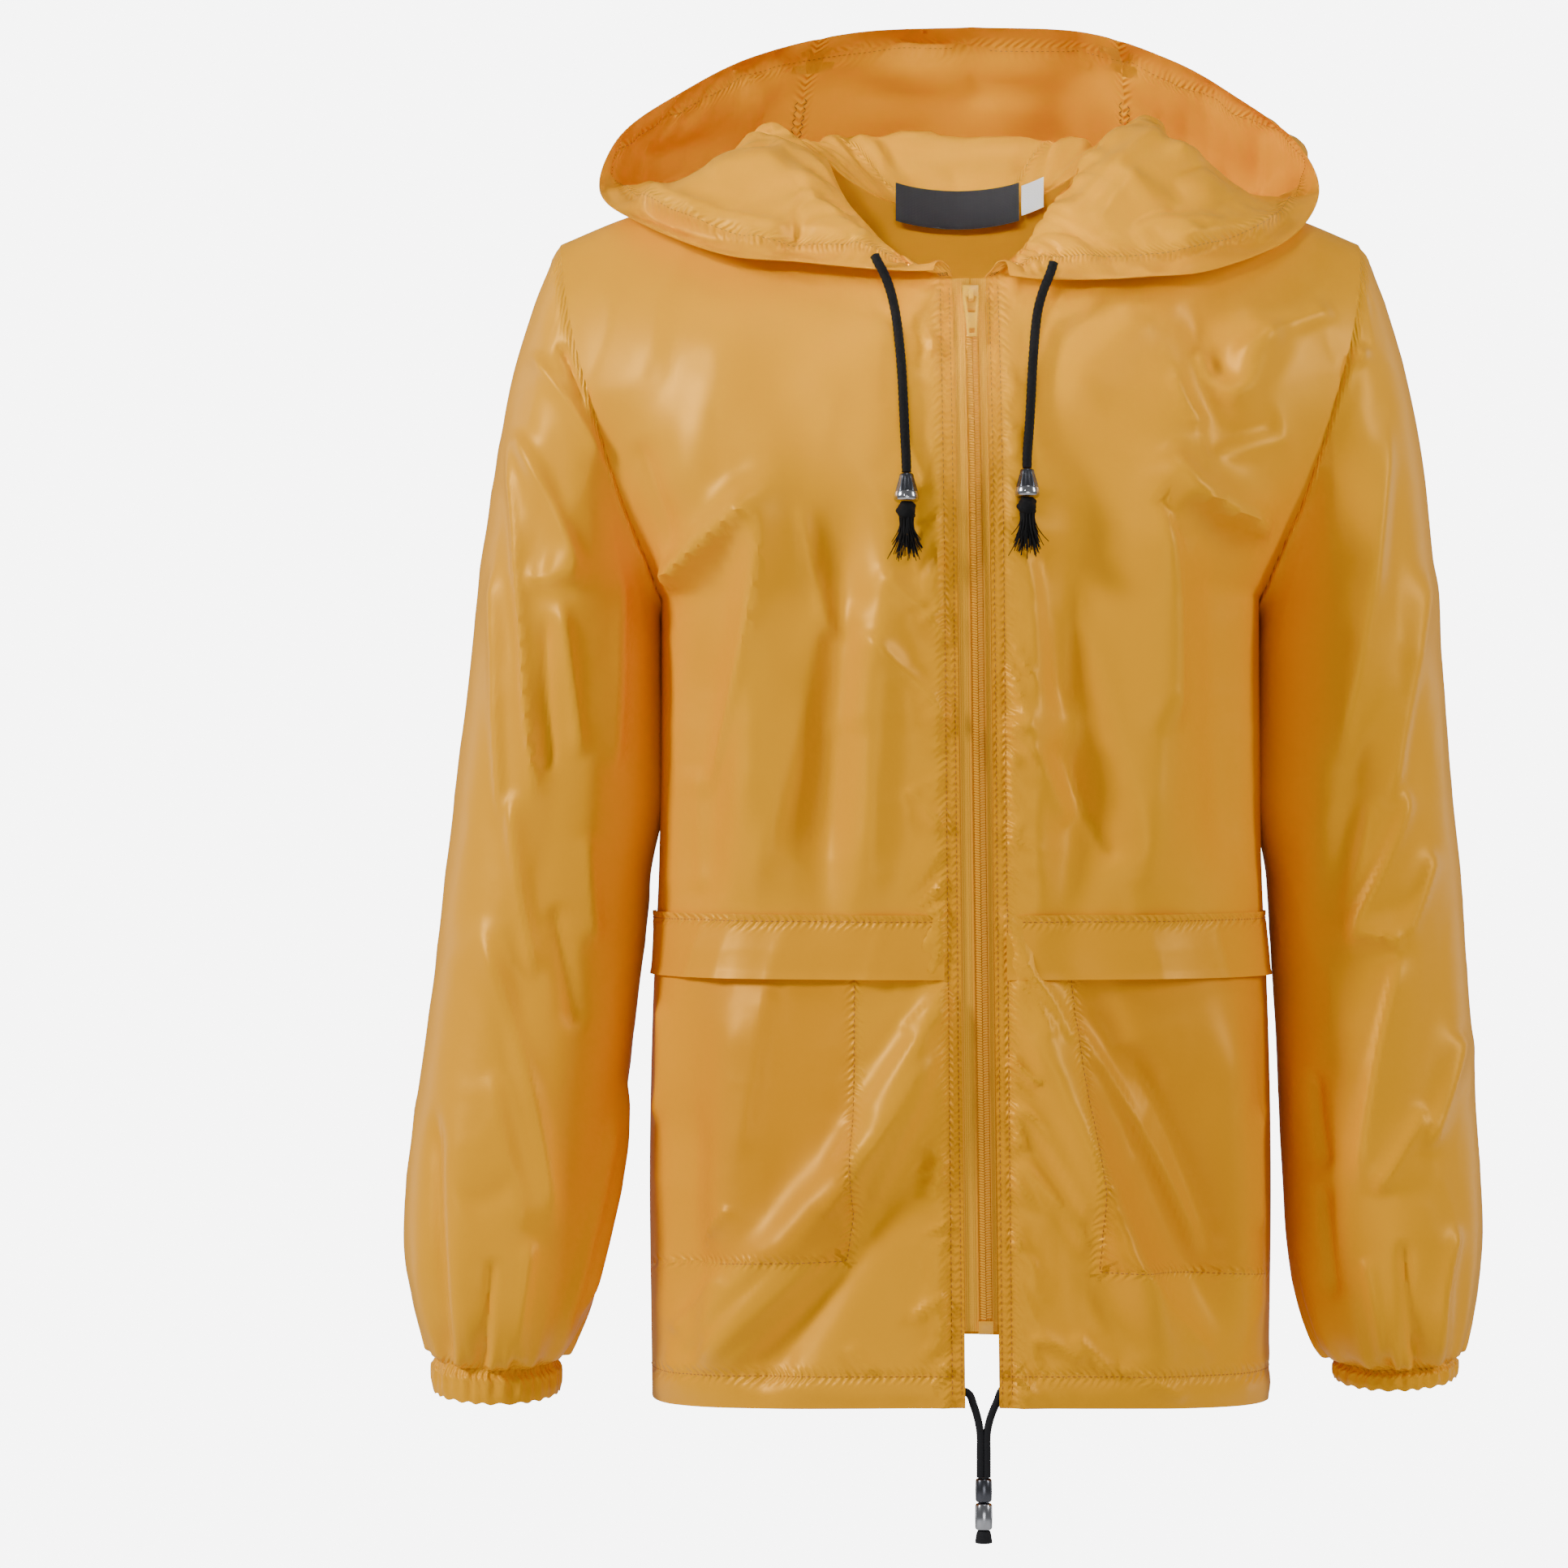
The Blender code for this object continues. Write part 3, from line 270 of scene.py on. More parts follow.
def thread_finish(name, colour):
    paint = Paint(name, Sheen_Weight=0.2)
    twist = paint.noise(900, 2)
    return paint.finish(paint.mixed(twist, *shades(colour, 0.86)), 0.55)


def tape_finish():
    paint = Paint("zip_tape_weave", Specular_IOR_Level=0.3)
    across, along = paint.cloth_map()
    rib = across.waves(0.0012) * 0.6 + along.waves(0.0009) * 0.4
    colour = paint.mixed(rib * 0.5 + 0.5, light_of(244, 168, 16), light_of(255, 184, 20))
    return paint.finish(colour, 0.55, rib, depth=0.0002, strength=0.5)


def moulded_finish(name, colour, roughness, grain):
    paint = Paint(name, Coat_Weight=0.1)
    fine = paint.noise(420, 3)
    mottled = paint.mixed(fine, *shades(colour, 0.93))
    return paint.finish(mottled, fine * 0.1 + roughness, fine, depth=grain * MM, strength=0.4)


def cord_finish(name, colour, pitch):
    paint = Paint(name, Specular_IOR_Level=0.25)
    fuzz = paint.noise(1400, 3)
    return paint.finish(paint.mixed(fuzz, *shades(colour, 2.2)), 0.78, fuzz, depth=pitch * MM, strength=0.5)


def metal_finish(name, colour, roughness):
    paint = Paint(name, Metallic=1.0)
    brushed = paint.noise(60, 4)
    fine = paint.noise(900, 2)
    streaked = paint.mixed(brushed, *shades(colour, 0.72))
    return paint.finish(streaked, brushed * 0.12 + roughness, fine, depth=0.00004, strength=0.3)


def label_finish(name, colour, gloss):
    paint = Paint(name, Sheen_Weight=0.1)
    across, along = paint.cloth_map()
    satin = along.waves(0.0007) * (across.waves(0.0021) * 0.4 + 0.6)
    woven = paint.mixed(satin * 0.5 + 0.5, *shades(colour, 1.25, 6))
    return paint.finish(woven, gloss, satin, depth=0.00012, strength=0.5)


# painted shade: the amber thread is painted darker than the cloth, for stitches that sit in shadow
SHADED_THREAD = thread_finish("amber_thread_painted_shade", (188, 112, 14))
# painted shade: the overlock thread is painted dark, for the shade in the seam allowance around it
SHADED_OVERLOCK_THREAD = thread_finish("overlock_thread_painted_shade", (112, 62, 12))
TAPE = tape_finish()
COIL = moulded_finish("zip_coil_plastic", (252, 176, 18), 0.38, 0.05)
ZIP_PAINT = moulded_finish("zip_slider_paint", (255, 190, 32), 0.26, 0.03)
CORD = cord_finish("black_braid", (5, 5, 6), 0.25)
ELASTIC = cord_finish("grey_elastic", (17, 17, 19), 0.2)
CHROME = metal_finish("bright_chrome", (214, 216, 222), 0.12)
GUNMETAL = metal_finish("gunmetal", (112, 114, 122), 0.2)
LABEL = label_finish("charcoal_label", (25, 25, 28), 0.7)
CARE_LABEL = label_finish("white_label", (226, 226, 224), 0.5)
FLOOR_PAPER = moulded_finish("pale_floor", (240, 240, 240), 0.8, 0.02)
floor.data.materials.append(FLOOR_PAPER)
print(len(bpy.data.materials), "materials")

# %% [markdown]
# ## Reading tables
# Everything soft is worked out from short tables in millimetres, the same as in the solid model, so
# the thin cloth has the solids' form. A smooth curve runs through each table's rows.


# %% Smooth reading
def through(keys, rows, at):
    """A smooth curve through the rows of a table, read at one or many places between its keys."""
    keys, rows = np.asarray(keys, float), np.asarray(rows, float)
    at = np.clip(np.asarray(at, float), keys[0], keys[-1])
    slopes = np.gradient(rows, keys, axis=0)
    i = np.clip(np.searchsorted(keys, at, side="right") - 1, 0, len(keys) - 2)
    span = keys[i + 1] - keys[i]
    t = (at - keys[i]) / span
    if rows.ndim > 1:
        t, span = t[..., None], span[..., None]
    t2, t3 = t * t, t * t * t
    return (
        (2 * t3 - 3 * t2 + 1) * rows[i]
        + (t3 - 2 * t2 + t) * span * slopes[i]
        + (3 * t2 - 2 * t3) * rows[i + 1]
        + (t3 - t2) * span * slopes[i + 1]
    )


def column(table, key, name, at):
    """A table's column, read by another of its columns."""
    return through(table[key], table[name], at)


def ease(t):
    """From 0 to 1 with a soft start and end."""
    t = np.clip(t, 0, 1)
    return t * t * (3 - 2 * t)


def unit(v):
    return v / np.maximum(np.linalg.norm(v, axis=-1, keepdims=True), 1e-9)


def finer(values, count):
    """The list with count - 1 values added in each gap."""
    values = np.asarray(values, float)
    at = np.linspace(0, len(values) - 1, (len(values) - 1) * count + 1)
    return np.interp(at, np.arange(len(values)), values)


def read_line(at, values, place):
    """The values of a line, known at the distances in at, where place is."""
    return np.stack([np.interp(place, at, values[:, i]) for i in range(values.shape[1])], axis=-1)


def spaced(line, shares):
    """Points at the given shares of a line's length."""
    step = np.linalg.norm(np.diff(line, axis=0), axis=1)
    return read_line(np.concatenate([[0], np.cumsum(step)]) / step.sum(), line, shares)


def noise(x, z, seed):
    """Smooth random values from 0 to 1, one a unit square."""
    table = np.random.RandomState(seed).rand(64, 64)
    x, z = np.broadcast_arrays(np.asarray(x, float), np.asarray(z, float))
    i, j = np.floor(x).astype(int), np.floor(z).astype(int)
    u, v = ease(x - i), ease(z - j)
    low = table[i % 64, j % 64] * (1 - u) + table[(i + 1) % 64, j % 64] * u
    high = table[i % 64, (j + 1) % 64] * (1 - u) + table[(i + 1) % 64, (j + 1) % 64] * u
    return low * (1 - v) + high * v


def ridges(x, z, seed):
    """Crooked ridges: 1 along their crests and 0 between them."""
    return 1 - np.abs(2 * noise(x, z, seed) - 1)


# %% [markdown]
# ## The drawcords
# Two round black braids hang out of the hood's edge, and a dark elastic cord leaves the hem on either
# side of the zip and ends in two metal beads. A cord is a tube that follows a smooth route. The route's
# points are those of the solid model, and the braid is a low relief of strands that cross.

# %% Routes of the cords, in mm
CORD_RADIUS = 2.75
BRAID_SIDES, BRAID_STRANDS, BRAID_LAY = 24, 4, 13
CORD_ROUTES = {
    "cord_right": ((-52, -91.8, -69.5), (-50.2, -93.2, -73.5), (-47.5, -94.6, -78.5), (-45.3, -94.8, -83.5),
                   (-43, -94, -90), (-41, -93.6, -98), (-39.3, -94.6, -108), (-38.2, -97.2, -118),
                   (-37.2, -100.3, -129), (-36.3, -104.4, -145), (-35.6, -108.6, -162), (-35, -113.2, -177),
                   (-34.6, -118, -187), (-34.5, -120.3, -192.5), (-34.5, -120.7, -195.5)),
    "cord_left": ((50.5, -92.8, -73.5), (49.2, -93.6, -78), (47.3, -94.6, -83), (45.2, -94.8, -88),
                  (43.2, -94, -94), (41.5, -93.6, -101), (40.2, -95, -110), (39, -98.6, -122),
                  (38, -102.2, -134), (37, -106.6, -150), (36, -110.6, -165), (35, -114.5, -177),
                  (34.2, -118.3, -185.5), (34, -119.9, -190), (34, -120.3, -193)),
}
TASSEL_WAY = np.array((0, -0.12, -1.0))
HEM_CORD_RADIUS = 2.3
HEM_CORD_SIDES, HEM_CORD_RIB = 16, 1.5
HEM_CORD_ROUTES = {
    "hem_cord_right": ((-4, -124.4, -716), (0.5, -124.4, -718), (3.6, -124.4, -725), (6, -124.4, -733),
                       (7.3, -124.4, -741), (7.35, -124.4, -752), (7.35, -124.4, -765.6)),
    "hem_cord_left": ((24.5, -124.4, -713), (20.5, -124.4, -715), (16.6, -124.4, -723), (13, -124.4, -732),
                      (11.1, -124.4, -741), (11.05, -124.4, -752), (11.05, -124.4, -765.6)),
}
HEM_BEADS_TOP = np.array((9.2, -124.4, -766.0))


# %% A mesh from rings of points
def new_object(name, points, faces, finish):
    """A mesh object from points in mm and faces, with its faces turned outwards."""
    mesh = bpy.data.meshes.new(name)
    mesh.from_pydata((np.asarray(points, float).reshape(-1, 3) * MM).tolist(), [], faces)
    work = bmesh.new()
    work.from_mesh(mesh)
    bmesh.ops.recalc_face_normals(work, faces=work.faces)
    work.to_mesh(mesh)
    work.free()
    mesh.materials.append(finish)
    mesh.shade_smooth()
    mesh.set_sharp_from_angle(angle=math.radians(55))
    made = bpy.data.objects.new(name, mesh)
    bpy.context.scene.collection.objects.link(made)
    return made


def stand_in(made, node, body="garment"):
    """The piece rides with a body and takes the place of a solid, which is hidden."""
    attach(made, body)
    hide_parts(node)


def route(points, step):
    """Points every step mm of a smooth curve through the given ones, with their distances along it."""
    points = np.asarray(points, float)
    at = np.concatenate([[0], np.cumsum(np.linalg.norm(np.diff(points, axis=0), axis=1))])
    marks = np.linspace(0, at[-1], max(4, round(at[-1] / step)) + 1)
    return through(at, points, marks), marks


def tube_parts(path, radii, sides):
    """Points and faces of a closed tube: radii holds one radius for each point of each ring."""
    tangent = unit(np.gradient(path, axis=0))
    first = unit(np.cross(tangent, (0.0, 1.0, 0.0)))
    second = np.cross(tangent, first)
    turn = np.arange(sides) * 2 * math.pi / sides
    spokes = first[:, None] * np.cos(turn)[None, :, None] + second[:, None] * np.sin(turn)[None, :, None]
    rings = path[:, None] + spokes * np.broadcast_to(radii, (len(path), sides))[..., None]
    faces = [
        (r * sides + i, r * sides + (i + 1) % sides, (r + 1) * sides + (i + 1) % sides, (r + 1) * sides + i)
        for r in range(len(path) - 1)
        for i in range(sides)
    ]
    faces.append(tuple(range(sides)))
    faces.append(tuple((len(path) - 1) * sides + i for i in reversed(range(sides))))
    return rings.reshape(-1, 3), faces


def joined_parts(parts):
    """Several lists of points and faces as one."""
    points, faces, count = [], [], 0
    for some, more in parts:
        points.append(some)
        faces += [tuple(i + count for i in face) for face in more]
        count += len(some)
    return np.concatenate(points), faces


def braid(marks, sides, radius, strands, lay):
    """Radii of a braid: strands wind both ways round it, once in every lay mm."""
    turn = np.arange(sides) * 2 * math.pi / sides
    wind = marks[:, None] * 2 * math.pi / lay
    over = np.cos(strands * (turn + wind))
    under = np.cos(strands * (turn - wind))
    return radius * (0.96 + 0.065 * np.maximum(over, under))


# %% Cords
cords = {}
for name, points in CORD_ROUTES.items():
    path, marks = route(points, 0.8)
    radii = braid(marks, BRAID_SIDES, CORD_RADIUS, BRAID_STRANDS, BRAID_LAY)
    cords[name] = new_object(name + "_braid", *tube_parts(path, radii, BRAID_SIDES), CORD)
for name, points in HEM_CORD_ROUTES.items():
    path, marks = route(points, 0.6)
    ribs = HEM_CORD_RADIUS * (0.97 + 0.05 * np.cos(marks * 2 * math.pi / HEM_CORD_RIB))[:, None]
    cords[name] = new_object(name + "_elastic", *tube_parts(path, ribs, HEM_CORD_SIDES), ELASTIC)
for name, made in cords.items():
    stand_in(made, name)
print({name: len(made.data.polygons) for name, made in cords.items()})

# %% [markdown]
# ## Metal ends and tassels
# Each braid runs into a small bell, dark on top and bright below, and comes out as a knot with frayed
# ends. Such parts are turned, so they are made as on a lathe: a disc is drawn down step by step and
# widened or narrowed at each step. The frayed ends are thin strands that all start in the knot.


# %% A lathe
def place_on_axis(made, top, way):
    """Moves a turned piece from the origin, where it hangs down along Z, to top and along way."""
    turn = Vector((0, 0, -1)).rotation_difference(Vector(way)).to_matrix().to_4x4()
    made.data.transform(Matrix.Translation([v * MM for v in top]) @ turn)


def turned(name, profile, sides, top, way, finish):
    """Draws a disc down through (depth, radius) rows in mm, then sets its axis at top, along way."""
    nothing_selected()
    deep, wide = profile[0]
    start = (0, 0, -deep * MM)
    bpy.ops.mesh.primitive_circle_add(vertices=sides, radius=wide * MM, fill_type="NGON", location=start)
    bpy.ops.object.transform_apply(location=True, rotation=False, scale=False)
    made = bpy.context.object
    made.name = name
    bpy.ops.object.mode_set(mode="EDIT")
    bpy.ops.mesh.select_all(action="SELECT")
    for (depth, radius), (next_depth, next_radius) in zip(profile, profile[1:]):
        bpy.ops.mesh.extrude_region_move(TRANSFORM_OT_translate={"value": (0, 0, (depth - next_depth) * MM)})
        wider = next_radius / radius
        bpy.ops.transform.resize(value=(wider, wider, 1), center_override=(0, 0, 0))
    bpy.ops.mesh.select_all(action="SELECT")
    bpy.ops.mesh.remove_doubles(threshold=0.000001)
    bpy.ops.mesh.normals_make_consistent(inside=False)
    bpy.ops.object.mode_set(mode="OBJECT")
    place_on_axis(made, top, way)
    made.data.materials.append(finish)
    bpy.ops.object.shade_smooth_by_angle(angle=math.radians(40))
    return made


def joined(name, pieces):
    """Several objects as one."""
    nothing_selected()
    for piece in pieces:
        piece.select_set(True)
    bpy.context.view_layer.objects.active = pieces[0]
    bpy.ops.object.join()
    pieces[0].name = name
    return pieces[0]


# %% Bells
BELL_TOP = (  # depth below the cord's end and radius, in mm
    (0.9, 2.9), (1.0, 3.6), (1.6, 4.1), (3.0, 4.35), (5.0, 4.9),
    (8.0, 5.8), (10.8, 6.5), (11.4, 6.6), (11.6, 6.2),
)
BELL_RIM = (
    (11.3, 5.9), (11.5, 6.7), (12.0, 6.95), (14.2, 7.15),
    (15.6, 7.1), (16.5, 6.6), (16.8, 6.0), (16.4, 5.2),
)
FLUTES, FLUTE_DEPTH = 10, 0.045
FLUTE_MIDDLE, FLUTE_REACH = 6.5, 4  # mm
bells = {}
for side in ("left", "right"):
    end = CORD_ROUTES["cord_" + side][-1]
    top = turned("bell_top", BELL_TOP, 60, (0, 0, 0), (0, 0, -1), GUNMETAL)
    for v in top.data.vertices:
        deep = math.exp(-(((v.co.z / MM + FLUTE_MIDDLE) / FLUTE_REACH) ** 2)) * FLUTE_DEPTH
        v.co.xy *= 1 - deep * (1 + math.cos(FLUTES * math.atan2(v.co.y, v.co.x)))
    place_on_axis(top, end, TASSEL_WAY)
    rim = turned("bell_rim", BELL_RIM, 32, end, TASSEL_WAY, CHROME)
    bells[side] = joined("bell_" + side, [top, rim])
    stand_in(bells[side], "cord_end_" + side)
print("bells", {side: tuple(round(v * 1000, 1) for v in made.dimensions) for side, made in bells.items()})


# %% Knots and frayed ends
KNOT_SIDES, FRAYED_STRANDS = 20, 90


def tassel(side, seed):
    """A lumpy knot and strands that leave it, spread and curl a little."""
    random = np.random.RandomState(seed)
    end, way = np.array(CORD_ROUTES["cord_" + side][-1], float), unit(TASSEL_WAY)
    aside = unit(np.cross(way, (0.0, 1.0, 0.0)))
    back = np.cross(way, aside)
    depths = np.linspace(17.0, 27.5, 12)
    knot = end + way * depths[:, None]
    turn = np.arange(KNOT_SIDES) * 2 * math.pi / KNOT_SIDES
    belly = 5.3 * np.sqrt(np.clip(1 - ((depths - 22.0) / 6.2) ** 2, 0.12, 1))
    depth = depths[:, None]
    lumps = 1 + 0.12 * np.cos(3 * turn + depth * 0.7) + 0.07 * np.cos(7 * turn - depth)
    parts = [tube_parts(knot, belly[:, None] * lumps, KNOT_SIDES)]
    for _ in range(FRAYED_STRANDS):
        angle, reach = random.rand() * 2 * math.pi, random.rand() ** 0.6
        out = aside * math.cos(angle) + back * math.sin(angle) * 0.8
        length = 14 + 12 * random.rand() - 5 * reach * random.rand()
        s = np.linspace(0, 1, 7)[:, None]
        pinch = 1.6 + 2.6 * reach
        spread = pinch + (1.2 + 4.2 * reach) * s**1.4 - 1.2 * np.sin(s * math.pi) * reach
        curl = aside * random.randn() * 1.5 * s**2 + back * random.randn() * 1.0 * s**2
        path = end + way * (25.5 + length * s) + out * spread + curl
        parts.append(tube_parts(path, 0.42 * (1 - 0.5 * s), 4))
    return new_object("tassel_" + side, *joined_parts(parts), CORD)


tassels = {side: tassel(side, seed) for side, seed in (("left", 4), ("right", 9))}
for side, made in tassels.items():
    stand_in(made, "tassel_" + side)
print("tassels", {side: len(made.data.polygons) for side, made in tassels.items()})

# %% Beads and tail of the hem cord
UPPER_BEAD = ((0.0, 3.2), (0.5, 4.2), (1.2, 4.65), (6.8, 4.75), (12.4, 4.65), (13.1, 4.2), (13.6, 3.2))
LOWER_BEAD = ((13.95, 3.2), (14.5, 4.3), (15.3, 4.85), (22.0, 5.0), (28.2, 4.85), (29.0, 4.3), (29.5, 3.2))
TAIL = ((29.85, 3.6), (31.0, 4.1), (33.0, 4.5), (35.2, 4.8), (36.6, 4.9), (36.8, 4.4))
beads = {
    "hem_bead_upper": turned("upper_bead", UPPER_BEAD, 32, HEM_BEADS_TOP, (0, 0, -1), GUNMETAL),
    "hem_bead_lower": turned("lower_bead", LOWER_BEAD, 32, HEM_BEADS_TOP, (0, 0, -1), CHROME),
    "hem_cord_tail": turned("cord_tail", TAIL, 24, HEM_BEADS_TOP, (0, 0, -1), ELASTIC),
}
for name, made in beads.items():
    stand_in(made, name)

# %% Say how long each cord is
for name, points in (CORD_ROUTES | HEM_CORD_ROUTES).items():
    path, marks = route(points, 0.8)
    hem = name in HEM_CORD_ROUTES
    side = name.rsplit("_", 1)[1]
    path[0] * MM
    marks[-1] * MM
    2 * (HEM_CORD_RADIUS if hem else CORD_RADIUS) * MM
    path * MM
    print(name, "is", round(marks[-1], 1), "mm long")

# %% [markdown]
# ## The form under the cloth
# The coat hangs on a smooth figure, a rounded box below the arms that closes over the shoulders. Its
# sizes are the solid model's. Panels are grids of points on that figure, with rows from the hem up and
# columns from the middle out, and here each grid is many times finer than in the solids.

# %% Sizes of the coat, in mm
HEM_Z, UNDERARM_Z = -726.0, -265.0
SHOULDER_TIP = (236.0, -53.0)
NECK_SIDE_X = 79.0
SEAM_Y = 6.0
ARMHOLE_MIDDLE_Z, ARMHOLE_PACE = -160.0, 1.4
ROUNDNESS = 2.4
ZIP_HALF_GAP = 9.7
ZIP_TOP_X, ZIP_BOTTOM_X = 3.4, 10.4
ZIP_TOP_Z, ZIP_BOTTOM_Z = -86.0, -684.0
HEM_TOP_Z = -708.0
FLAP_TOP_Z, FLAP_BOTTOM_Z = -447.0, -484.0
CUFF_HEIGHT = {1: 11.0, -1: 19.0}
HEM_DROP, BACK_RISE = 7.0, 14.0
GATHERS = 12
CLOTH = 1.2  # how thick the solids' walls are
SHELL = 0.5  # how thick the cloth is here
LAY_GAP = 0.35  # between one cloth and the next that lies on it

BODY = {
    "z": (-726, -690, -600, -500, -420, -340, -265),
    "half": (182, 182.5, 183.5, 181.5, 178, 177, 176.5),
    "front": (134, 133, 130, 126, 124, 124, 124),
    "back": (124, 122, 118, 112, 110, 112, 114),
}
FIGURE = {
    "z": (-265, -250, -235, -213, -160, -101, -53, 20),
    "half": (176.5, 184.5, 193, 207, 240, 268, 280, 290),
}
ARMHOLE = {
    "z": (-265, -250, -235, -213, -160, -101, -75, -53),
    "x": (176.5, 181.5, 187, 196, 213, 229, 233.5, 236),
}
SHOULDER = {
    "x": (0, 40, 79, 120, 160, 200, 236, 300),
    "z": (12, 8, -2, -13, -26, -38, -53, -80),
}
NECKLINE = {
    "x": (0, 10, 36, 56, 72, 79),
    "front": (-82, -80, -69, -48, -23, -2),
    "back": (-29, -28.6, -24.5, -17, -8, -2),
}
NECK_SHARES = {-1: (0, 0.1, 0.27, 0.45, 0.63, 0.82, 1), 1: (0, 0.27, 0.41, 0.54, 0.69, 0.85, 1)}
SHOULDER_COLUMNS = 7
LOW_SHARES = {
    -1: (0, 0.05, 0.12, 0.2, 0.28, 0.36, 0.44, 0.52, 0.6, 0.68, 0.76, 0.84, 0.92, 1),
    1: tuple(i / 13 for i in range(14)),
}
FINER = 6  # columns here for each column of the solids
LOW_HEIGHTS = np.linspace(HEM_Z, UNDERARM_Z, 214)
ARMHOLE_ROWS = 90
BACK_HEIGHTS = np.linspace(HEM_Z, UNDERARM_Z, 140)
BACK_ARMHOLE_ROWS = 60


# %% The figure
def zip_x(z):
    """x of the zip's middle at height z: it leans a little."""
    share = (ZIP_TOP_Z - z) / (ZIP_TOP_Z - ZIP_BOTTOM_Z)
    return ZIP_TOP_X + (ZIP_BOTTOM_X - ZIP_TOP_X) * share


def lean(side, x, z):
    """x of a front's point: at the zip it leans as the zip does."""
    return side * x + zip_x(z) * np.clip(1 - x / NECK_SIDE_X, 0, 1) ** 2


def rounded(share):
    """The body's rounded section: its depth at a share of its half width."""
    return np.clip(1 - np.clip(share, 0, 1) ** ROUNDNESS, 0, 1) ** (1 / ROUNDNESS)


def figure_y(x, z, face):
    """y of the coat's outer face at x, z: face is -1 in front and 1 behind."""
    x, z = np.broadcast_arrays(np.abs(np.asarray(x, float)), np.asarray(z, float))
    body_z = np.minimum(z, UNDERARM_Z)
    half = np.where(z < UNDERARM_Z, column(BODY, "z", "half", body_z), column(FIGURE, "z", "half", z))
    depth = column(BODY, "z", "front" if face < 0 else "back", body_z)
    top = column(SHOULDER, "x", "z", x)
    rise = np.clip((z - UNDERARM_Z) / (top - UNDERARM_Z), 0, 1)
    close = np.sqrt(1 - rise**2) ** (1.5 - 0.4 * x / SHOULDER_TIP[0])
    return SEAM_Y + face * depth * rounded(x / half) * close


def armhole(face, t):
    """A point of the armhole's front or back half, from underarm at t = 0 to shoulder at t = 1."""
    if t <= 0:
        return np.array([ARMHOLE["x"][0], SEAM_Y, UNDERARM_Z])
    if t >= 1:
        return np.array([SHOULDER_TIP[0], SEAM_Y, SHOULDER_TIP[1]])
    z = UNDERARM_Z + (SHOULDER_TIP[1] - UNDERARM_Z) * math.sin(math.pi / 2 * t) ** ARMHOLE_PACE
    x = float(column(ARMHOLE, "z", "x", z))
    return np.array([x, float(figure_y(x, z, face)), z])


def neckline(face, shares):
    """Points of the neck seam's front or back half, from the middle to the shoulder."""
    x = np.linspace(ZIP_HALF_GAP if face < 0 else 0, NECK_SIDE_X, 200)
    z = column(NECKLINE, "x", "front" if face < 0 else "back", x)
    return spaced(np.stack([x, figure_y(x, z, face), z], axis=1), shares)


# %% Half a panel
def half_panel(face, heights, armhole_rows):
    """Half of the front or back as (rows, columns, xyz), and each point's height before the hem sags."""
    inner = ZIP_HALF_GAP if face < 0 else 0.0
    name = "front" if face < 0 else "back"
    shares = finer(LOW_SHARES[face], FINER)
    rows, level = [], []
    for z in heights:
        half, depth = column(BODY, "z", "half", z), column(BODY, "z", name, z)
        turn = np.linspace(math.asin((inner / half) ** (ROUNDNESS / 2)), math.pi / 2, 400)
        x = half * np.sin(turn) ** (2 / ROUNDNESS)
        y = SEAM_Y + face * depth * rounded(x / half)
        row = spaced(np.stack([x, y, np.full_like(x, z)], axis=1), shares)
        low = np.clip((z + 600) / (HEM_Z + 600), 0, 1)
        row[:, 2] -= low * HEM_DROP * (row[:, 0] / half) ** 2
        if face > 0:
            row[:, 2] += low * BACK_RISE * (1 - (row[:, 0] / half) ** 2)
        rows.append(row)
        level.append(np.full(len(row), z))
    neck = neckline(face, finer(NECK_SHARES[face], FINER))
    shoulder_x = np.linspace(NECK_SIDE_X, SHOULDER_TIP[0], SHOULDER_COLUMNS * FINER + 1)[1:]
    top_x = np.concatenate([neck[:, 0], shoulder_x])
    top_z = np.concatenate([neck[:, 2], column(SHOULDER, "x", "z", shoulder_x)])
    crown = column(SHOULDER, "x", "z", top_x)
    turn = np.arcsin(np.clip((top_z - UNDERARM_Z) / (crown - UNDERARM_Z), 0, 1))
    turn[len(neck) - 1 :] = math.pi / 2
    low_spread = (rows[-1][:, 0] - inner) / (rows[-1][-1, 0] - inner)
    top_spread = (top_x - inner) / (top_x[-1] - inner)
    edge_pull = np.linspace(0, 1, len(top_x)) ** 5
    for i in range(1, armhole_rows + 1):
        t = i / armhole_rows
        edge = armhole(face, t)
        x = inner + (edge[0] - inner) * ((1 - ease(t)) * low_spread + ease(t) * top_spread)
        z = UNDERARM_Z + (top_z - UNDERARM_Z) * np.sin(t * turn) / np.sin(turn)
        y = figure_y(x, z, face)
        row = np.stack([x, y + (edge[1] - y[-1]) * edge_pull, z + (edge[2] - z[-1]) * edge_pull], axis=1)
        rows.append(row)
        level.append(row[:, 2])
    return np.array(rows), np.array(level)


def grid_normals(grid, around=False):
    """Unit normals of a grid: columns run along the second axis and close up when around is set."""
    if around:
        wide = np.concatenate([grid[:, -1:], grid, grid[:, :1]], axis=1)
        across = (wide[:, 2:] - wide[:, :-2]) / 2
    else:
        across = np.gradient(grid, axis=1)
    return unit(np.cross(across, np.gradient(grid, axis=0)))


def to_ring_middle(points):
    """Ways in at the armhole, which the panels and the sleeve share."""
    way = np.zeros_like(points)
    way[..., 1] = SEAM_Y - points[..., 1]
    way[..., 2] = ARMHOLE_MIDDLE_Z - points[..., 2]
    return unit(way)


def seamed(grid, inward, side, low, neck):
    """The last column and the shoulder part of the top row set to what the neighbours share."""
    inward[:low, -1] = (-side, 0, 0)
    inward[low:, -1] = to_ring_middle(grid[low:, -1])
    inward[-1, neck:] = (0, 0, -1)
    grid[: low + 1, -1, 1] = SEAM_Y
    grid[-1, neck:, 1] = SEAM_Y
    return grid, inward


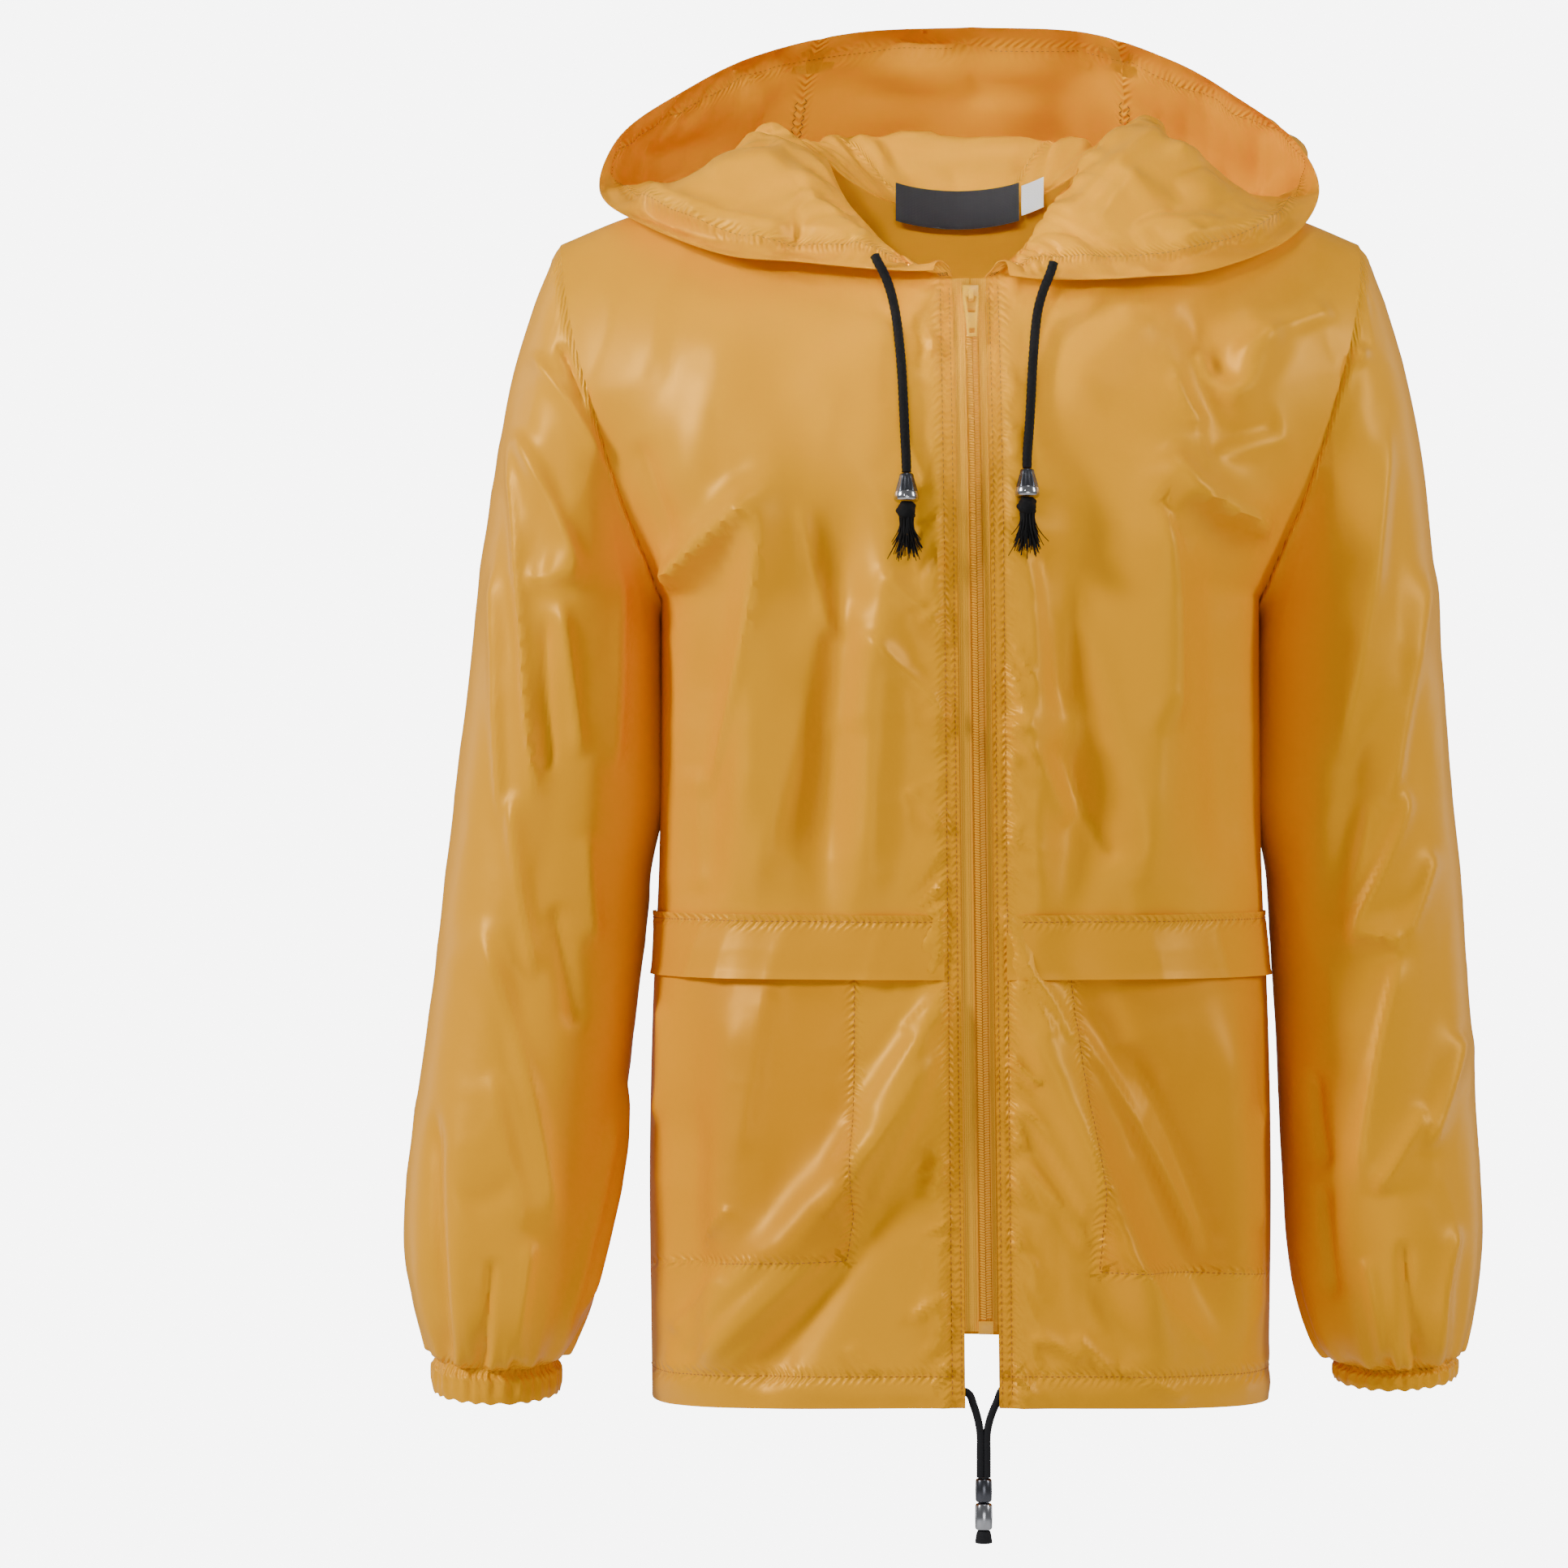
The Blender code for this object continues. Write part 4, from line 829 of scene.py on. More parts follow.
def edge_calm(x, z, margin=16.0):
    """0 on the seams at shoulder, armhole and side, 1 a little away from them."""
    edge = np.where(
        z > UNDERARM_Z,
        column(ARMHOLE, "z", "x", np.clip(z, UNDERARM_Z, SHOULDER_TIP[1])),
        column(BODY, "z", "half", np.minimum(z, UNDERARM_Z)),
    )
    from_side = ease((edge - np.abs(x)) / margin)
    from_top = ease((column(SHOULDER, "x", "z", np.abs(x)) - z) / (2.5 * margin))
    return from_side * from_top


# %% [markdown]
# ## Folds and creases
# A worn coat has two kinds of fold. Broad soft ones are the solid model's, a bell-shaped ridge between
# two points. Over them run the narrow creases of thin nylon, which have a crisp crest, one steep flank
# and one that dies out slowly. They are placed where the coat shows them. Each crease
# is a row of a table: its two ends as the camera sees them, how far its middle bows to the viewer's
# left, the width of its two flanks, and its height, which is below 0 for a trough.


# %% Lift of folds and creases
CREASE_DEPTH = 1.9  # all creases of the tables grow with it


def fold_lift(folds, x, z):
    """Broad folds: from x0, z0 to x1, z1, with a half width and a height."""
    lift = np.zeros(np.shape(x))
    for x0, z0, x1, z1, width, height in folds:
        dx, dz = x1 - x0, z1 - z0
        length = math.hypot(dx, dz)
        along = ((x - x0) * dx + (z - z0) * dz) / length**2
        across = ((x - x0) * dz - (z - z0) * dx) / length
        beyond = np.maximum(np.abs(along - 0.5) - 0.32, 0) / 0.22
        lift += height * np.exp(-((across / width) ** 2) - beyond**2)
    return lift


def crease_lift(creases, x, z):
    """Crisp creases: x0, z0, x1, z1, bow, left, right, height."""
    lift = np.zeros(np.shape(x))
    for x0, z0, x1, z1, bow, left, right, height in creases:
        dx, dz = x1 - x0, z1 - z0
        length = math.hypot(dx, dz)
        along = ((x - x0) * dx + (z - z0) * dz) / length**2
        from_middle = 2 * along - 1
        across = ((x - x0) * dz - (z - z0) * dx) / length - bow * (1 - np.clip(from_middle, -1, 1) ** 2)
        share = across / np.where(across > 0, left, right)
        ends = ease(1.7 * (1 - from_middle**2))
        lift += CREASE_DEPTH * height * np.exp(-1.5 * (np.hypot(share, 0.3) - 0.3)) * ends
    return lift


def seen(grid):
    """x and z of points as the camera sees them, in the plane of the shoulders."""
    reach = EYE[1] / (EYE[1] - grid[..., 1])
    return EYE[0] + (grid[..., 0] - EYE[0]) * reach, EYE[2] + (grid[..., 2] - EYE[2]) * reach


def crumple(x, z, seed):
    """The slight unevenness of cloth that has been folded small and worn."""
    drift = noise(x / 45, z / 45, seed + 7) * 1.4
    broad = ridges(x / 42 + drift, z / 95, seed) ** 2
    fine = ridges(x / 17 + drift, z / 34 + drift, seed + 1) ** 3
    return 1.5 * broad + 0.55 * fine


# %% Folds of the solid model
FRONT_FOLDS = {
    -1: (
        (-112, -195, -122, -400, 15, 9), (-116, -205, -172, -258, 13, 8), (-128, -105, -160, -215, 24, 6),
        (-150, -300, -156, -440, 15, -7), (-72, -215, -84, -430, 16, -7), (-46, -250, -58, -430, 13, 6),
        (-38, -110, -90, -150, 18, 4), (-20, -510, -66, -590, 10, 6.5), (-26, -548, -162, -704, 15, 10),
        (-50, -610, -120, -715, 13, -6), (-128, -500, -136, -640, 20, 6), (-160, -560, -158, -700, 14, -6),
    ),
    1: (
        (110, -190, 168, -222, 13, 8.5), (112, -195, 106, -420, 17, 8), (135, -95, 150, -165, 14, -7),
        (176, -110, 150, -160, 13, 7), (100, -100, 60, -150, 18, 5), (148, -240, 154, -420, 17, -7),
        (66, -200, 58, -430, 17, -6), (38, -250, 42, -440, 13, 5), (35, -500, 108, -690, 14, 9),
        (66, -495, 146, -680, 14, -7), (60, -560, 110, -690, 10, 5), (150, -510, 158, -690, 16, 7),
    ),
}
BACK_FOLDS = (
    (-95, -170, -120, -420, 17, 9), (88, -165, 122, -430, 17, 9), (-20, -190, -30, -560, 20, -7),
    (45, -260, 30, -600, 16, 7), (-150, -200, -125, -330, 14, -7), (150, -200, 128, -330, 14, -7),
    (-70, -430, -110, -690, 14, 8), (105, -450, 70, -690, 14, 7), (0, -560, -10, -710, 16, 7),
    (150, -480, 160, -690, 16, -7), (-150, -400, -160, -600, 16, 6),
)
SLEEVE_FOLDS = {
    -1: (
        (-258, -150, -272, -420, 10, 7), (-236, -175, -252, -300, 11, 7), (-218, -250, -240, -245, 9, -7),
        (-232, -330, -262, -520, 12, 7), (-210, -300, -222, -480, 11, -6), (-262, -490, -250, -610, 13, 7),
        (-296, -560, -288, -700, 12, -6),
    ),
    1: (
        (245, -150, 262, -380, 11, 7), (232, -330, 218, -450, 10, 7), (214, -455, 262, -465, 9, -7),
        (284, -440, 262, -600, 12, 7), (232, -500, 224, -620, 12, -6), (212, -290, 206, -430, 11, -6),
        (290, -560, 282, -680, 12, 6),
    ),
}
SLEEVE_BACK_FOLDS = (
    (225, -150, 238, -330, 13, 7), (262, -190, 270, -420, 12, 7), (215, -380, 265, -400, 10, -7),
    (240, -430, 255, -600, 13, 7), (285, -470, 290, -650, 12, -6),
)

# %% Creases of the fronts: x0, z0, x1, z1, bow, left, right, height
FRONT_CREASES = {
    -1: (
        (-112, -200, -157, -384, -13, 12, 5, 3.4),
        (-113, -203, -172, -252, 1, 14, 5, 3.6),
        (-93, -205, -74, -290, 3, 5, 6, 2.2),
        (-80, -250, -122, -445, -5, 15, 12, 3.0),
        (-61, -262, -62, -345, -3, 8, 10, 1.8),
        (-48, -244, -4, -292, -2, 9, 5, 2.2),
        (-60, -280, -3, -340, -3, 12, 6, 2.6),
        (-160, -360, -157, -440, 0, 7, 8, 1.8),
        (-30, -372, -8, -400, 1, 6, 3, 1.6),
        (-192, -168, -166, -246, -2, 6, 10, -2.4),
        (-2, -492, -62, -574, 0, 11, 12, 3.4),
        (-6, -493, -34, -520, 1, 3, 5, 1.6),
        (-12, -524, -57, -632, -2, 6, 5, 2.6),
        (-20, -532, -64, -612, -2, 4, 5, 1.8),
        (-45, -622, -154, -722, 1, 12, 9, 3.8),
        (-62, -650, -140, -722, 1, 4, 5, 1.6),
        (-98, -648, -166, -718, 1, 9, 6, -2.6),
        (-136, -660, -172, -698, 1, 6, 7, 2.2),
        (-7, -674, -28, -690, 1, 3, 4, 1.6),
        (-66, -704, -50, -721, 1, 4, 4, 1.6),
        (-130, -622, -154, -646, 1, 3, 4, 1.2),
        (-138, -630, -146, -640, 1, 3, 3, 1.0),
        (-112, -486, -128, -598, -2, 10, 5, 1.6),
        (-58, -604, -78, -628, 1, 3, 4, 1.4),
        (-58, -612, -72, -640, 1, 3, 4, 1.2),
        (-177, -498, -181, -576, -4, 4, 4, 1.8),
    ),
    1: (
        (143, -110, 168, -146, 7, 6, 6, 3.0),
        (126, -126, 147, -162, 4, 6, 5, 2.4),
        (224, -94, 158, -124, 5, 12, 7, 3.2),
        (170, -102, 160, -138, 5, 9, 9, -1.5),
        (143, -177, 192, -160, -3, 8, 10, -2.2),
        (136, -186, 200, -168, -3, 6, 12, 1.8),
        (117, -176, 162, -220, 2, 5, 8, 2.0),
        (120, -199, 184, -227, -5, 7, 11, 3.0),
        (116, -200, 136, -232, 2, 4, 4, -1.8),
        (117, -204, 124, -345, -3, 16, 6, 3.4),
        (48, -222, 62, -335, 2, 9, 12, -2.8),
        (30, -328, 66, -398, 0, 6, 10, 2.8),
        (54, -344, 94, -424, 0, 9, 12, -2.6),
        (66, -250, 112, -440, -4, 15, 14, 2.4),
        (24, -443, 44, -492, 0, 3, 5, 1.8),
        (40, -484, 68, -528, -3, 4, 5, 2.4),
        (32, -488, 54, -524, -3, 3, 4, 1.6),
        (64, -508, 148, -662, -6, 8, 8, 3.6),
        (98, -524, 154, -662, -6, 9, 12, -3.4),
        (30, -556, 76, -634, -4, 5, 7, 2.6),
        (32, -594, 78, -652, -3, 6, 6, 2.4),
        (28, -534, 46, -552, 0, 3, 4, 2.0),
        (40, -700, 74, -716, -3, 4, 6, 2.0),
        (66, -698, 90, -722, 0, 4, 5, 1.8),
        (92, -716, 134, -738, 0, 4, 6, 1.6),
        (78, -640, 150, -716, -3, 9, 9, 2.2),
        (174, -560, 172, -640, 2, 5, 5, 1.8),
    ),
}
BACK_CREASES = (
    (-60, -150, -112, -300, 4, 10, 6, 3.0), (66, -150, 110, -310, -4, 6, 10, 3.0),
    (-170, -215, -110, -262, -3, 6, 10, 3.0), (172, -215, 112, -268, 3, 10, 6, 3.0),
    (-100, -330, -88, -520, 4, 9, 6, 2.8), (112, -340, 84, -540, 3, 6, 9, 2.6),
    (-36, -220, -24, -420, 3, 8, 10, -2.4), (24, -250, 44, -430, 2, 9, 7, 2.2),
    (-140, -500, -80, -650, -4, 7, 9, 3.0), (136, -520, 62, -640, 4, 9, 7, 3.0),
    (-40, -560, 10, -700, 3, 7, 9, 2.4), (60, -600, 120, -712, -3, 8, 7, 2.4),
    (-150, -640, -100, -716, -2, 6, 7, 2.2), (20, -480, -16, -610, 2, 8, 8, 2.0),
)

# %% [markdown]
# ## Thin cloth
# A panel becomes cloth as a closed shell half a millimetre thick. Its own map, `cloth`, holds metres
# along and across the piece, so a weave keeps its scale however the cloth is bent.


# %% A thin shell from a grid
def shell(name, outer, inward, finish, thickness=SHELL, around=False, marks=None):
    """Outer face, inner face one thickness further in, and the cut edges between them."""
    rows, columns = outer.shape[:2]
    wide = columns + 1 if around else columns
    count = rows * columns
    points = np.concatenate([outer.reshape(-1, 3), (outer + inward * thickness).reshape(-1, 3)])
    r, c = np.meshgrid(np.arange(rows - 1), np.arange(wide - 1), indexing="ij")
    around_face = ((0, 0), (0, 1), (1, 1), (1, 0))
    front = np.stack([((r + up) * columns + (c + on) % columns).ravel() for up, on in around_face], axis=1)
    walls = [front, front[:, ::-1] + count]
    for at in (0, rows - 1):
        a = at * columns + np.arange(wide - 1)
        b = at * columns + (np.arange(wide - 1) + 1) % columns
        walls.append(np.stack([a, a + count, b + count, b], axis=1))
    if not around:
        for at in (0, columns - 1):
            a = np.arange(rows - 1) * columns + at
            walls.append(np.stack([a, a + columns, a + columns + count, a + count], axis=1))
    made = new_object(name, points, np.concatenate(walls).tolist(), finish)
    loop = np.concatenate([outer, outer[:, :1]], axis=1) if around else outer
    across = np.pad(np.cumsum(np.linalg.norm(np.diff(loop, axis=1), axis=2), axis=1), ((0, 0), (1, 0)))
    along = np.pad(np.cumsum(np.linalg.norm(np.diff(outer, axis=0), axis=2), axis=0), ((1, 0), (0, 0)))
    map_of = np.stack([across[:, :columns].ravel(), along.ravel()], axis=1) * MM
    corner_points = np.zeros(len(made.data.loops), int)
    made.data.loops.foreach_get("vertex_index", corner_points)
    places = map_of[corner_points % count]
    if around:
        face_starts = np.repeat(places.reshape(-1, 4, 2)[:, :, 0].max(axis=1), 4)
        girth = np.repeat(across[:, -1].mean() * MM, len(places))
        far = (face_starts > girth * 0.6) & (places[:, 0] < girth * 0.3)
        places[far, 0] += girth[far]
    layer = made.data.uv_layers.new(name="cloth")
    layer.data.foreach_set("uv", places.ravel())
    for mark, values in (marks or {}).items():
        values = np.broadcast_to(values, (rows, columns)).ravel()
        attribute = made.data.attributes.new(mark, "FLOAT", "POINT")
        attribute.data.foreach_set("value", np.concatenate([values, values]))
    return made


def area_of(grid, around=False):
    """Area of a grid in square metres, and its greatest length across and along in metres."""
    loop = np.concatenate([grid, grid[:, :1]], axis=1) if around else grid
    a = loop[1:, :-1] - loop[:-1, :-1]
    b = loop[:-1, 1:] - loop[:-1, :-1]
    area = np.linalg.norm(np.cross(a, b), axis=2).sum() * MM * MM
    width = np.linalg.norm(np.diff(loop, axis=1), axis=2).sum(axis=1).max() * MM
    length = np.linalg.norm(np.diff(grid, axis=0), axis=2).sum(axis=0).max() * MM
    return area, width, length


def declare_sheet(made, base, rests_on, around=False):
    """States the flat cut of what shows: the panel's smooth form, without its folds."""
    area, width, length = area_of(base, around)
    width = min(width, area / (0.55 * length))
    min(area, width * length)
    print(f"{made.name}: cut {width * 1000:.0f} x {length * 1000:.0f} mm, {area * 1e4:.0f} cm2")


def seam_marks(lines):
    """Marks for the fine puckers beside seams. Each line is (distance from it, place along it, reach)."""
    values = np.array(np.broadcast_arrays(*[value for line in lines for value in line]), float)
    distance, along, reach = values[0::3], values[1::3], values[2::3]
    near = np.exp(-((distance / reach) ** 2))
    paces = along + 0.8 * np.abs(distance)
    # where two seams meet their puckers cancel, or the ripples of both would clash
    order = np.sort(near, axis=0)
    pucker = order[-1] - (order[-2] if len(lines) > 1 else 0)
    pace = np.take_along_axis(paces, near.argmax(axis=0)[None], axis=0)[0]
    return {"pucker": pucker, "pace": pace}


def hem_lift(x, z, level, seed):
    """The turned hem is fuller, its stitching sinks in, and short waves run out from it."""
    above = level - HEM_TOP_Z
    fuller = np.exp(-(((above + 9) / 7) ** 2)) * 1.5 - 0.9 * np.exp(-((above / 2.2) ** 2))
    waves = ridges(x / 13, level / 30, seed) ** 2 * np.exp(-((above / 12) ** 2))
    return (fuller + 1.2 * waves) * edge_calm(x, z, 3.0)


# %% [markdown]
# ## The two fronts
# Each front runs from the zip to the side seam and up to the shoulder. Beside the zip two rows of
# stitching hold it to the tape, and the stitching draws the cloth into short slanting puckers. Over the
# pocket bag the cloth is painted a slightly darker colour, a painted shade of doubled cloth, and the bag
# has its own row of stitches.

# %% Fronts
FRONT_OF = {1: "front_left", -1: "front_right"}
ZIP_STITCH = (1.8, 7.2)  # mm from the front's edge
POCKET = {  # as the camera sees them: inner edge top and bottom, corner, outer end
    -1: {"x": (-62.4, -62.4, -67.5), "z": (-487, -628, -655), "outer": (-142, -656)},
    1: {"x": (66.2, 81.6, 81.6), "z": (-487, -614, -661), "outer": (179, -662)},
}


def from_edge(grid):
    """Distance of each point from the panel's first column, along the cloth."""
    return np.pad(np.cumsum(np.linalg.norm(np.diff(grid, axis=1), axis=2), axis=1), ((0, 0), (1, 0)))


def pocket_edge(side, z):
    """x of the pocket's inner row of stitches, as seen, at height z."""
    pocket = POCKET[side]
    return np.interp(-z, -np.array(pocket["z"], float), pocket["x"])


def front_panel(side, heights=LOW_HEIGHTS, armhole_rows=ARMHOLE_ROWS, plain=False):
    """Outer face of a front, the ways in from it, its smooth form, and its marks."""
    base, level = half_panel(-1, heights, armhole_rows)
    base[..., 0] = lean(side, base[..., 0], base[..., 2])
    outward = grid_normals(base) * side
    x, z = base[..., 0], base[..., 2]
    sx, sz = seen(base)
    edge = from_edge(base)
    calm = np.clip((np.abs(x - zip_x(z)) - ZIP_HALF_GAP) / 22, 0, 1) * edge_calm(x, z)
    lift = fold_lift(FRONT_FOLDS[side], x, z) * calm * 1.3
    near = edge_calm(x, z, 5.0) * ease(edge / 7)
    marks = {"layer": 0.0}
    if not plain:
        lift = lift + crease_lift(FRONT_CREASES[side], sx, sz) * near
        lift = lift + (crumple(sx, sz, 20 + side) - 0.7) * near * 0.7
        # short puckers that the zip's stitching draws into the cloth, slanting down towards it
        slant = z + edge * 0.8
        uneven = noise(z / 31, edge / 40, 3 + side)
        tufts = ridges(slant / 11 + 2.5 * uneven, edge / 30, 11 + side) ** 2.5
        lift = lift + 7.0 * tufts * uneven * np.exp(-(((edge - 11) / 13) ** 2)) * ease((edge - 6.5) / 5)
        lift = lift + hem_lift(x, z, level, 31 + side)
        for row in ZIP_STITCH:
            lift = lift - 0.55 * np.exp(-(((edge - row) / 1.3) ** 2))
        # the cloth over the pocket bag, inside its stitches, gets the painted shade of doubled cloth; the
        # stitches tug at the cloth beside and under them
        beside = (sx - pocket_edge(side, sz)) * side
        over = sz - POCKET[side]["z"][2]
        inside = ease((beside + 1) / 2) * ease((over + 1) / 2) * ease((FLAP_BOTTOM_Z + 14 - sz) / 4)
        inside = inside * ease((abs(POCKET[side]["outer"][0]) + 30 - np.abs(sx)) / 30)
        down = ease((over + 3) / 3) * ease((FLAP_BOTTOM_Z + 10 - sz) / 6)
        under = ease((beside + 2) / 3)
        tug_beside = 1.3 * ridges(sz / 11 + 0.04 * beside, beside / 30, 41 + side) ** 2
        tug_under = ridges(sx / 12, sz / 30, 51) ** 2
        tug = tug_beside * np.exp(-((beside / 11) ** 2)) * down
        tug = tug + tug_under * np.exp(-((over / 9) ** 2)) * under
        lift = lift + (tug - 0.5 * np.exp(-((beside / 1.6) ** 2)) * down) * near
        marks = seam_marks(
            [
                (edge - ZIP_STITCH[1], level, 4.2),
                (edge - ZIP_STITCH[0], level, 2.4),
                (level - HEM_TOP_Z, x, 3.6),
                (np.where(down > 0.5, beside, 99), sz, 3.2),
                (np.where(under > 0.5, over, 99), sx, 3.0),
            ]
        )
        # painted shade: darker over the pocket bag and along the zip's edge, where a second cloth lies behind
        marks["layer"] = np.maximum(0.75 * inside, 0.6 * ease((9.0 - edge) / 1.5))
    else:
        lift = lift + np.where(level < (HEM_TOP_Z + HEM_Z) / 2, 1.5, 0) * edge_calm(x, z)
    grid = base + outward * lift[..., None]
    low, neck = len(heights) - 1, len(finer(NECK_SHARES[-1], FINER)) - 1
    grid, inward = seamed(grid, -grid_normals(grid) * side, side, low, neck)
    return {"grid": grid, "inward": inward, "base": base, "level": level, "edge": edge, "marks": marks}


fronts = {}
for side, name in FRONT_OF.items():
    panel = fronts[side] = front_panel(side)
    made = shell(name + "_cloth", panel["grid"], panel["inward"], COAT, marks=panel["marks"])
    stand_in(made, name)
    declare_sheet(made, panel["base"], ["back"])
    print(name, len(made.data.polygons), "faces")

# %% [markdown]
# ## The back
# The back is one panel from side seam to side seam. Nobody sees it in the front view, so its creases
# are made up in the same manner: they run from the shoulder blades down and fan out above the hem.


# %% Back
def back_panel():
    """Outer face of the back, the ways in from it, its smooth form, and its heights before the hem sags."""
    low, neck = len(BACK_HEIGHTS) - 1, len(finer(NECK_SHARES[1], FINER)) - 1
    halves = []
    for side in (1, -1):
        base, level = half_panel(1, BACK_HEIGHTS, BACK_ARMHOLE_ROWS)
        base = base * np.array([side, 1, 1])
        x, z = base[..., 0], base[..., 2]
        outward = grid_normals(base) * -side
        outward[:, 0, 0] = 0
        near = edge_calm(x, z, 5.0)
        lift = fold_lift(BACK_FOLDS, x, z) * edge_calm(x, z)
        lift = lift + (crease_lift(BACK_CREASES, x, z) + (crumple(x, z, 60) - 0.7) * 0.9) * near
        lift = lift + hem_lift(x, z, level, 33)
        grid = base + unit(outward) * lift[..., None]
        inward = grid_normals(grid) * side
        inward[:, 0, 0] = 0
        grid, inward = seamed(grid, unit(inward), side, low, neck)
        halves.append((grid, inward, base, level))
    left, right = halves
    return [np.concatenate([a[:, ::-1], b[:, 1:]], axis=1) for a, b in zip(left, right)]


back_grid, back_inward, back_base, back_level = back_panel()
back_marks = seam_marks([(back_level - HEM_TOP_Z, back_base[..., 0], 3.6)])
back = shell("back_cloth", back_grid, back_inward, COAT, marks=back_marks)
stand_in(back, "back")
declare_sheet(back, back_base, ["front_left", "front_right"])
print("back", len(back.data.polygons), "faces")

# %% [markdown]
# ## Flaps
# A flap covers each pocket's mouth. It is sewn down along its top and hangs free below, a few
# millimetres off the front, which gives the thin dark line under it. It is made from the front's own
# points, moved out, so it can't sink into the front.


# %% Flaps
FLAP_ROWS = 24
FLAP_FIRST = 4  # the front's column where a flap starts
FLAP_STITCH = 4  # mm below the flap's top


def flap_panel(side):
    """Outer face of a flap, the ways in from it, the front's face under it, and its marks."""
    own_heights = np.linspace(FLAP_BOTTOM_Z, FLAP_TOP_Z, FLAP_ROWS)
    panel = front_panel(side, np.concatenate([[HEM_Z], own_heights, [UNDERARM_Z]]), 2, plain=True)
    own = np.s_[1 : FLAP_ROWS + 1, FLAP_FIRST:]
    base, inward = panel["grid"][own], panel["inward"][own]
    columns = np.arange(base.shape[1]) / FINER
    wavy = 3.6 + 1.8 * np.cos(columns * 1.1 + side)
    stand = wavy * (1 - 0.85 * ease((columns - 7) / 5)) * ease(columns / 2.5)
    share = np.interp(np.linspace(0, 1, FLAP_ROWS), (0, 0.45, 0.8, 1), (1.0, 0.6, 0.1, 0.0))[:, None]
    height = LAY_GAP + SHELL + stand[None, :] * share
    x, z = seen(base)
    pleats = ridges(x / 15 + 0.25 * side * z / 15, z / 60, 71 + side) ** 2 * 1.3
    pleats = pleats + 1.1 * ridges(x / 7, z / 40, 73 + side) ** 2 * np.exp(-(((z - FLAP_TOP_Z) / 7) ** 2))
    from_stitch = base[..., 2] - FLAP_TOP_Z + FLAP_STITCH
    groove = 0.6 * np.exp(-((from_stitch / 1.8) ** 2))
    roll = 0.6 * np.exp(-(((base[..., 2] - FLAP_BOTTOM_Z) / 2.5) ** 2))
    inside = np.minimum(columns / 0.6, 1) * np.minimum((columns[-1] - columns) / 0.6, 1)
    grid = base - inward * (height + (pleats - groove + roll) * inside[None, :])[..., None]
    marks = seam_marks([(from_stitch, x, 3.4)])
    # painted shade: the whole flap is painted a little darker, as doubled cloth
    marks["layer"] = 0.35
    return grid, inward, base, marks


flaps = {}
for side, name in ((1, "flap_left"), (-1, "flap_right")):
    grid, inward, base, marks = flaps[side] = flap_panel(side)
    made = shell(name + "_cloth", grid, inward, COAT, marks=marks)
    stand_in(made, name)
    declare_sheet(made, base, [FRONT_OF[side]])

# %% [markdown]
# ## Sleeves and cuffs
# A sleeve is a tube of rings from the armhole down to the wrist. Near the wrist an elastic gathers it
# into pleats, which die out up the arm, and the cuff is the short ruffled band that holds the elastic.

# %% Rings of the sleeves, in mm
SLEEVE_RIGHT = {
    "outer_x": (236, 250, 264, 274, 283, 290, 297, 304, 310.5, 319, 325.5, 327, 322, 315, 310),
    "outer_z": (-53, -86, -131, -185, -245, -310, -370, -430, -490, -550, -603, -643, -674, -696, -708),
    "inner_x": (176.5, 180, 181.5, 182, 182, 182, 183, 186, 192, 198.5, 204.5, 211, 218, 228, 236),
    "inner_z": (-265, -275, -289, -309, -335, -370, -410, -455, -505, -560, -610, -648, -677, -698, -709),
}
SLEEVE_LEFT = {
    "outer_x": (236, 250, 263.5, 273.5, 280, 285.5, 290, 295.5, 299.5, 302.5, 305.5, 306.5, 302, 296, 291),
    "outer_z": (-53, -86, -131, -185, -245, -310, -370, -430, -490, -545, -596, -637, -671, -696, -707),
    "inner_x": (176.5, 180, 181.5, 182, 182, 182, 182.3, 184.3, 187, 189, 191, 193, 199, 209, 220),
    "inner_z": (-265, -275, -289, -309, -335, -370, -410, -455, -505, -557, -602, -642, -675, -699, -710),
}
SLEEVE_RING = {
    "front": (58, 62, 65, 67, 67, 66, 65, 64, 63, 63, 63, 62, 57, 46, 36),
    "back": (60, 65, 68, 69, 69, 68, 67, 66, 65, 64, 64, 62, 57, 46, 36),
    "middle_y": (6, 6, 6, 6, 6, 6, 5, 3, 0, -4, -8, -12, -15, -17, -18),
    "tilt": (0, 0, 0, 0, 0, 0, 0, 0, 0, 0, 2, 4, 5, 5, 5),
}
LAST_RING = 14
SLEEVE_COLUMNS = 144
SLEEVE_ROWS = np.linspace(0, LAST_RING, 190)
CAP_ROW, WRIST_ROW = 24, 12  # mm of cloth from one row of the tables to the next
CAP_RADIUS, WRIST_RADIUS = 52, 40  # mm: they turn an angle into a way round the sleeve

